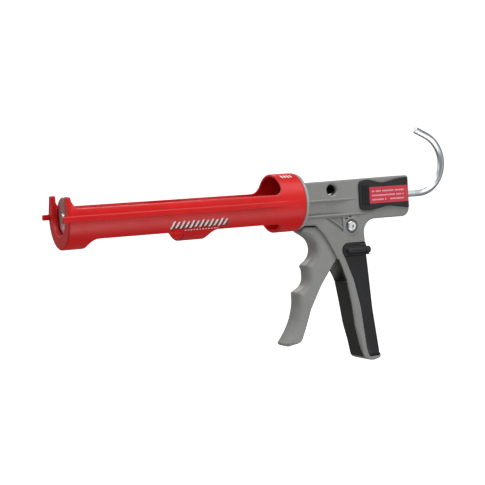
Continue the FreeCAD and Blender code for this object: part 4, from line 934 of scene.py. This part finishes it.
collarProfile = [(3.6, 6.05), (3.6, 26.0), (3.2, 26.8), (2.6, 27.15), (1.4, 27.2), (0.7, 26.9), (0.3, 26.2),
                 (0.3, 13.2), (0.3, 13.0), (-4.3, 13.0), (-4.3, 6.05), (3.6, 6.05)]
collar = lathe("swivelCollar", collarProfile, around=160)
dress(collar, collarAcetal, "body", ["swivel_collar"])
print("trim done")

# the CAD nodes that stay, each with its finish
finishes = {blackAbs: ("collar_retainer",), filmRed: ("tool_label",), acetal: ("rear_bush", "trigger_bush"),
            springWire: ("drive_spring", "catch_spring"),
            turnedZinc: ("retainer_screws", "front_bush", "pivot_bolt", "pivot_nut", "catch_pin", "piston_cone",
                         "piston_nut", "piston_screw", "drive_roller", "spout_blade", "blade_rivets",
                         "drive_plate_front", "drive_plate_rear", "release_lever", "punch_pin", "housing_screws")}
for material, names in finishes.items():
    for name in names:
        dress(nodes[name], material)
print("finishes done")

# the studio, in millimetres about the gun: a floor that turns up into a round wall and a ceiling
cove = {"floor": -1250, "top": 2600, "radius": 2400, "bend": 1200, "around": 72, "perBend": 17,
        "dark": "F4F4F3", "light": "FAFAFA", "cloud": 300.0, "tooth": 3.0, "rough": (0.8, 0.95), "glow": 1.0}


def coveProfile():
    # heights and radii: a flat floor, a quarter circle up into the wall, and the same again into the ceiling
    c = cove
    t = np.linspace(0, math.pi / 2, c["perBend"])
    inner = c["radius"] - c["bend"]
    lower = np.stack([c["floor"] + c["bend"] * (1 - np.cos(t)), inner + c["bend"] * np.sin(t)], 1)
    upper = np.stack([c["top"] - c["bend"] * (1 - np.sin(t)), inner + c["bend"] * np.cos(t)], 1)
    return np.concatenate([[(c["floor"], 0)], lower, upper, [(c["top"], 0)]])


coveSheet = lathe("studioCove", coveProfile(), axis="z", around=cove["around"])
# white acrylic lit from behind, as in a light tent: an even pale ground that throws no shadow, with a faint tooth
sheet, tree = newTree("backlitAcrylicWhite")
where = add(tree, "ShaderNodeTexCoord", {}, out="Object")
cloud = add(tree, "ShaderNodeTexNoise", {"Vector": where, "Scale": blobs(cove["cloud"])})
tones = {0: cloud, 6: fromHex(cove["dark"]), 7: fromHex(cove["light"])}
colour = add(tree, "ShaderNodeMix", tones, data_type="RGBA")
tooth = add(tree, "ShaderNodeTexNoise", {"Vector": where, "Scale": blobs(cove["tooth"])})
rough = add(tree, "ShaderNodeMapRange", {0: tooth, 3: cove["rough"][0], 4: cove["rough"][1]})
glow = {"Base Color": colour, "Roughness": rough, "Emission Color": colour, "Emission Strength": cove["glow"]}
shader = add(tree, "ShaderNodeBsdfPrincipled", glow)
add(tree, "ShaderNodeOutputMaterial", {"Surface": shader})
coveSheet.data.materials.append(sheet)
coveSheet.visible_diffuse = False  # the softboxes and the even studio light do the lighting
coveSheet.visible_glossy = False   # the cove isn't mirrored along the gun's edges
coveSheet.visible_shadow = False

# where the camera looks from and at: degrees about Z, up and about its own line of sight, and metres
view = {"turn": 26.8, "rise": 2.8, "roll": -3.57, "distance": 1.133, "target": (-0.0565, 0.0, -0.0346),
        "lens": 89.22, "sensor": 36.0, "clip": 0.05}


def aim(turnDeg, riseDeg, rollDeg):
    # the camera's right, up and back directions from its turn about Z, its rise and its roll
    turn, rise, roll = (math.radians(v) for v in (turnDeg, riseDeg, rollDeg))
    back = Vector((-math.sin(turn) * math.cos(rise), -math.cos(turn) * math.cos(rise), math.sin(rise)))
    right = Vector((math.cos(turn), -math.sin(turn), 0))
    up = back.cross(right)
    level = Matrix((right * math.cos(roll) + up * math.sin(roll), up * math.cos(roll) - right * math.sin(roll), back))
    return level.transposed(), back


turned, back = aim(view["turn"], view["rise"], view["roll"])
lens = bpy.data.cameras.new("mainCamera")
lens.lens = view["lens"]
lens.sensor_width = view["sensor"]
lens.clip_start = view["clip"]
camera = bpy.data.objects.new("mainCamera", lens)
camera.matrix_world = Matrix.Translation(Vector(view["target"]) + back * view["distance"]) @ turned.to_4x4()
bpy.context.scene.collection.objects.link(camera)
bpy.context.scene.camera = camera

# soft lights: where each stands and its size in metres, the point that it faces, and its power in watts
softboxes = {"keyBox": ((0.5, -0.8, 0.9), (0.6, 0.6), (0.0, 0.0, -0.05), 3.0),
             "sideBox": ((0.74, -0.9, 0.08), (0.4, 0.5), (0.08, 0.0, 0.0), 1.0),
             "leftBox": ((-1.1, -0.7, 0.5), (0.4, 0.5), (-0.12, 0.0, 0.0), 0.5),
             "lowBox": ((0.0, -0.75, -0.62), (1.1, 0.5), (0.0, 0.0, -0.15), 4.6),
             "topBox": ((-0.1, -0.45, 1.15), (1.4, 0.4), (-0.06, 0.0, -0.03), 13.0),
             "farBox": ((0.15, 1.05, 0.75), (0.8, 0.6), (0.0, 0.0, -0.05), 5.0),
             "noseBox": ((-0.95, 0.7, 0.4), (0.6, 0.6), (-0.23, 0.0, 0.0), 3.4)}
studioLight = 0.2
for name, (spot, size, facing, power) in softboxes.items():
    lamp = bpy.data.lights.new(name, "AREA")
    lamp.shape = "RECTANGLE"
    lamp.size, lamp.size_y = size
    lamp.energy = power
    holder = bpy.data.objects.new(name, lamp)
    holder.location = spot
    holder.rotation_euler = (Vector(facing) - Vector(spot)).to_track_quat("-Z", "Y").to_euler()
    holder.visible_camera = False
    bpy.context.scene.collection.objects.link(holder)
world = bpy.data.worlds.new("studioWorld")
world.use_nodes = True
background = world.node_tree.nodes["Background"].inputs
background["Color"].default_value = (1, 1, 1, 1)
background["Strength"].default_value = studioLight
bpy.context.scene.world = world
bpy.context.scene.view_settings.view_transform = "Standard"
print("stage done")
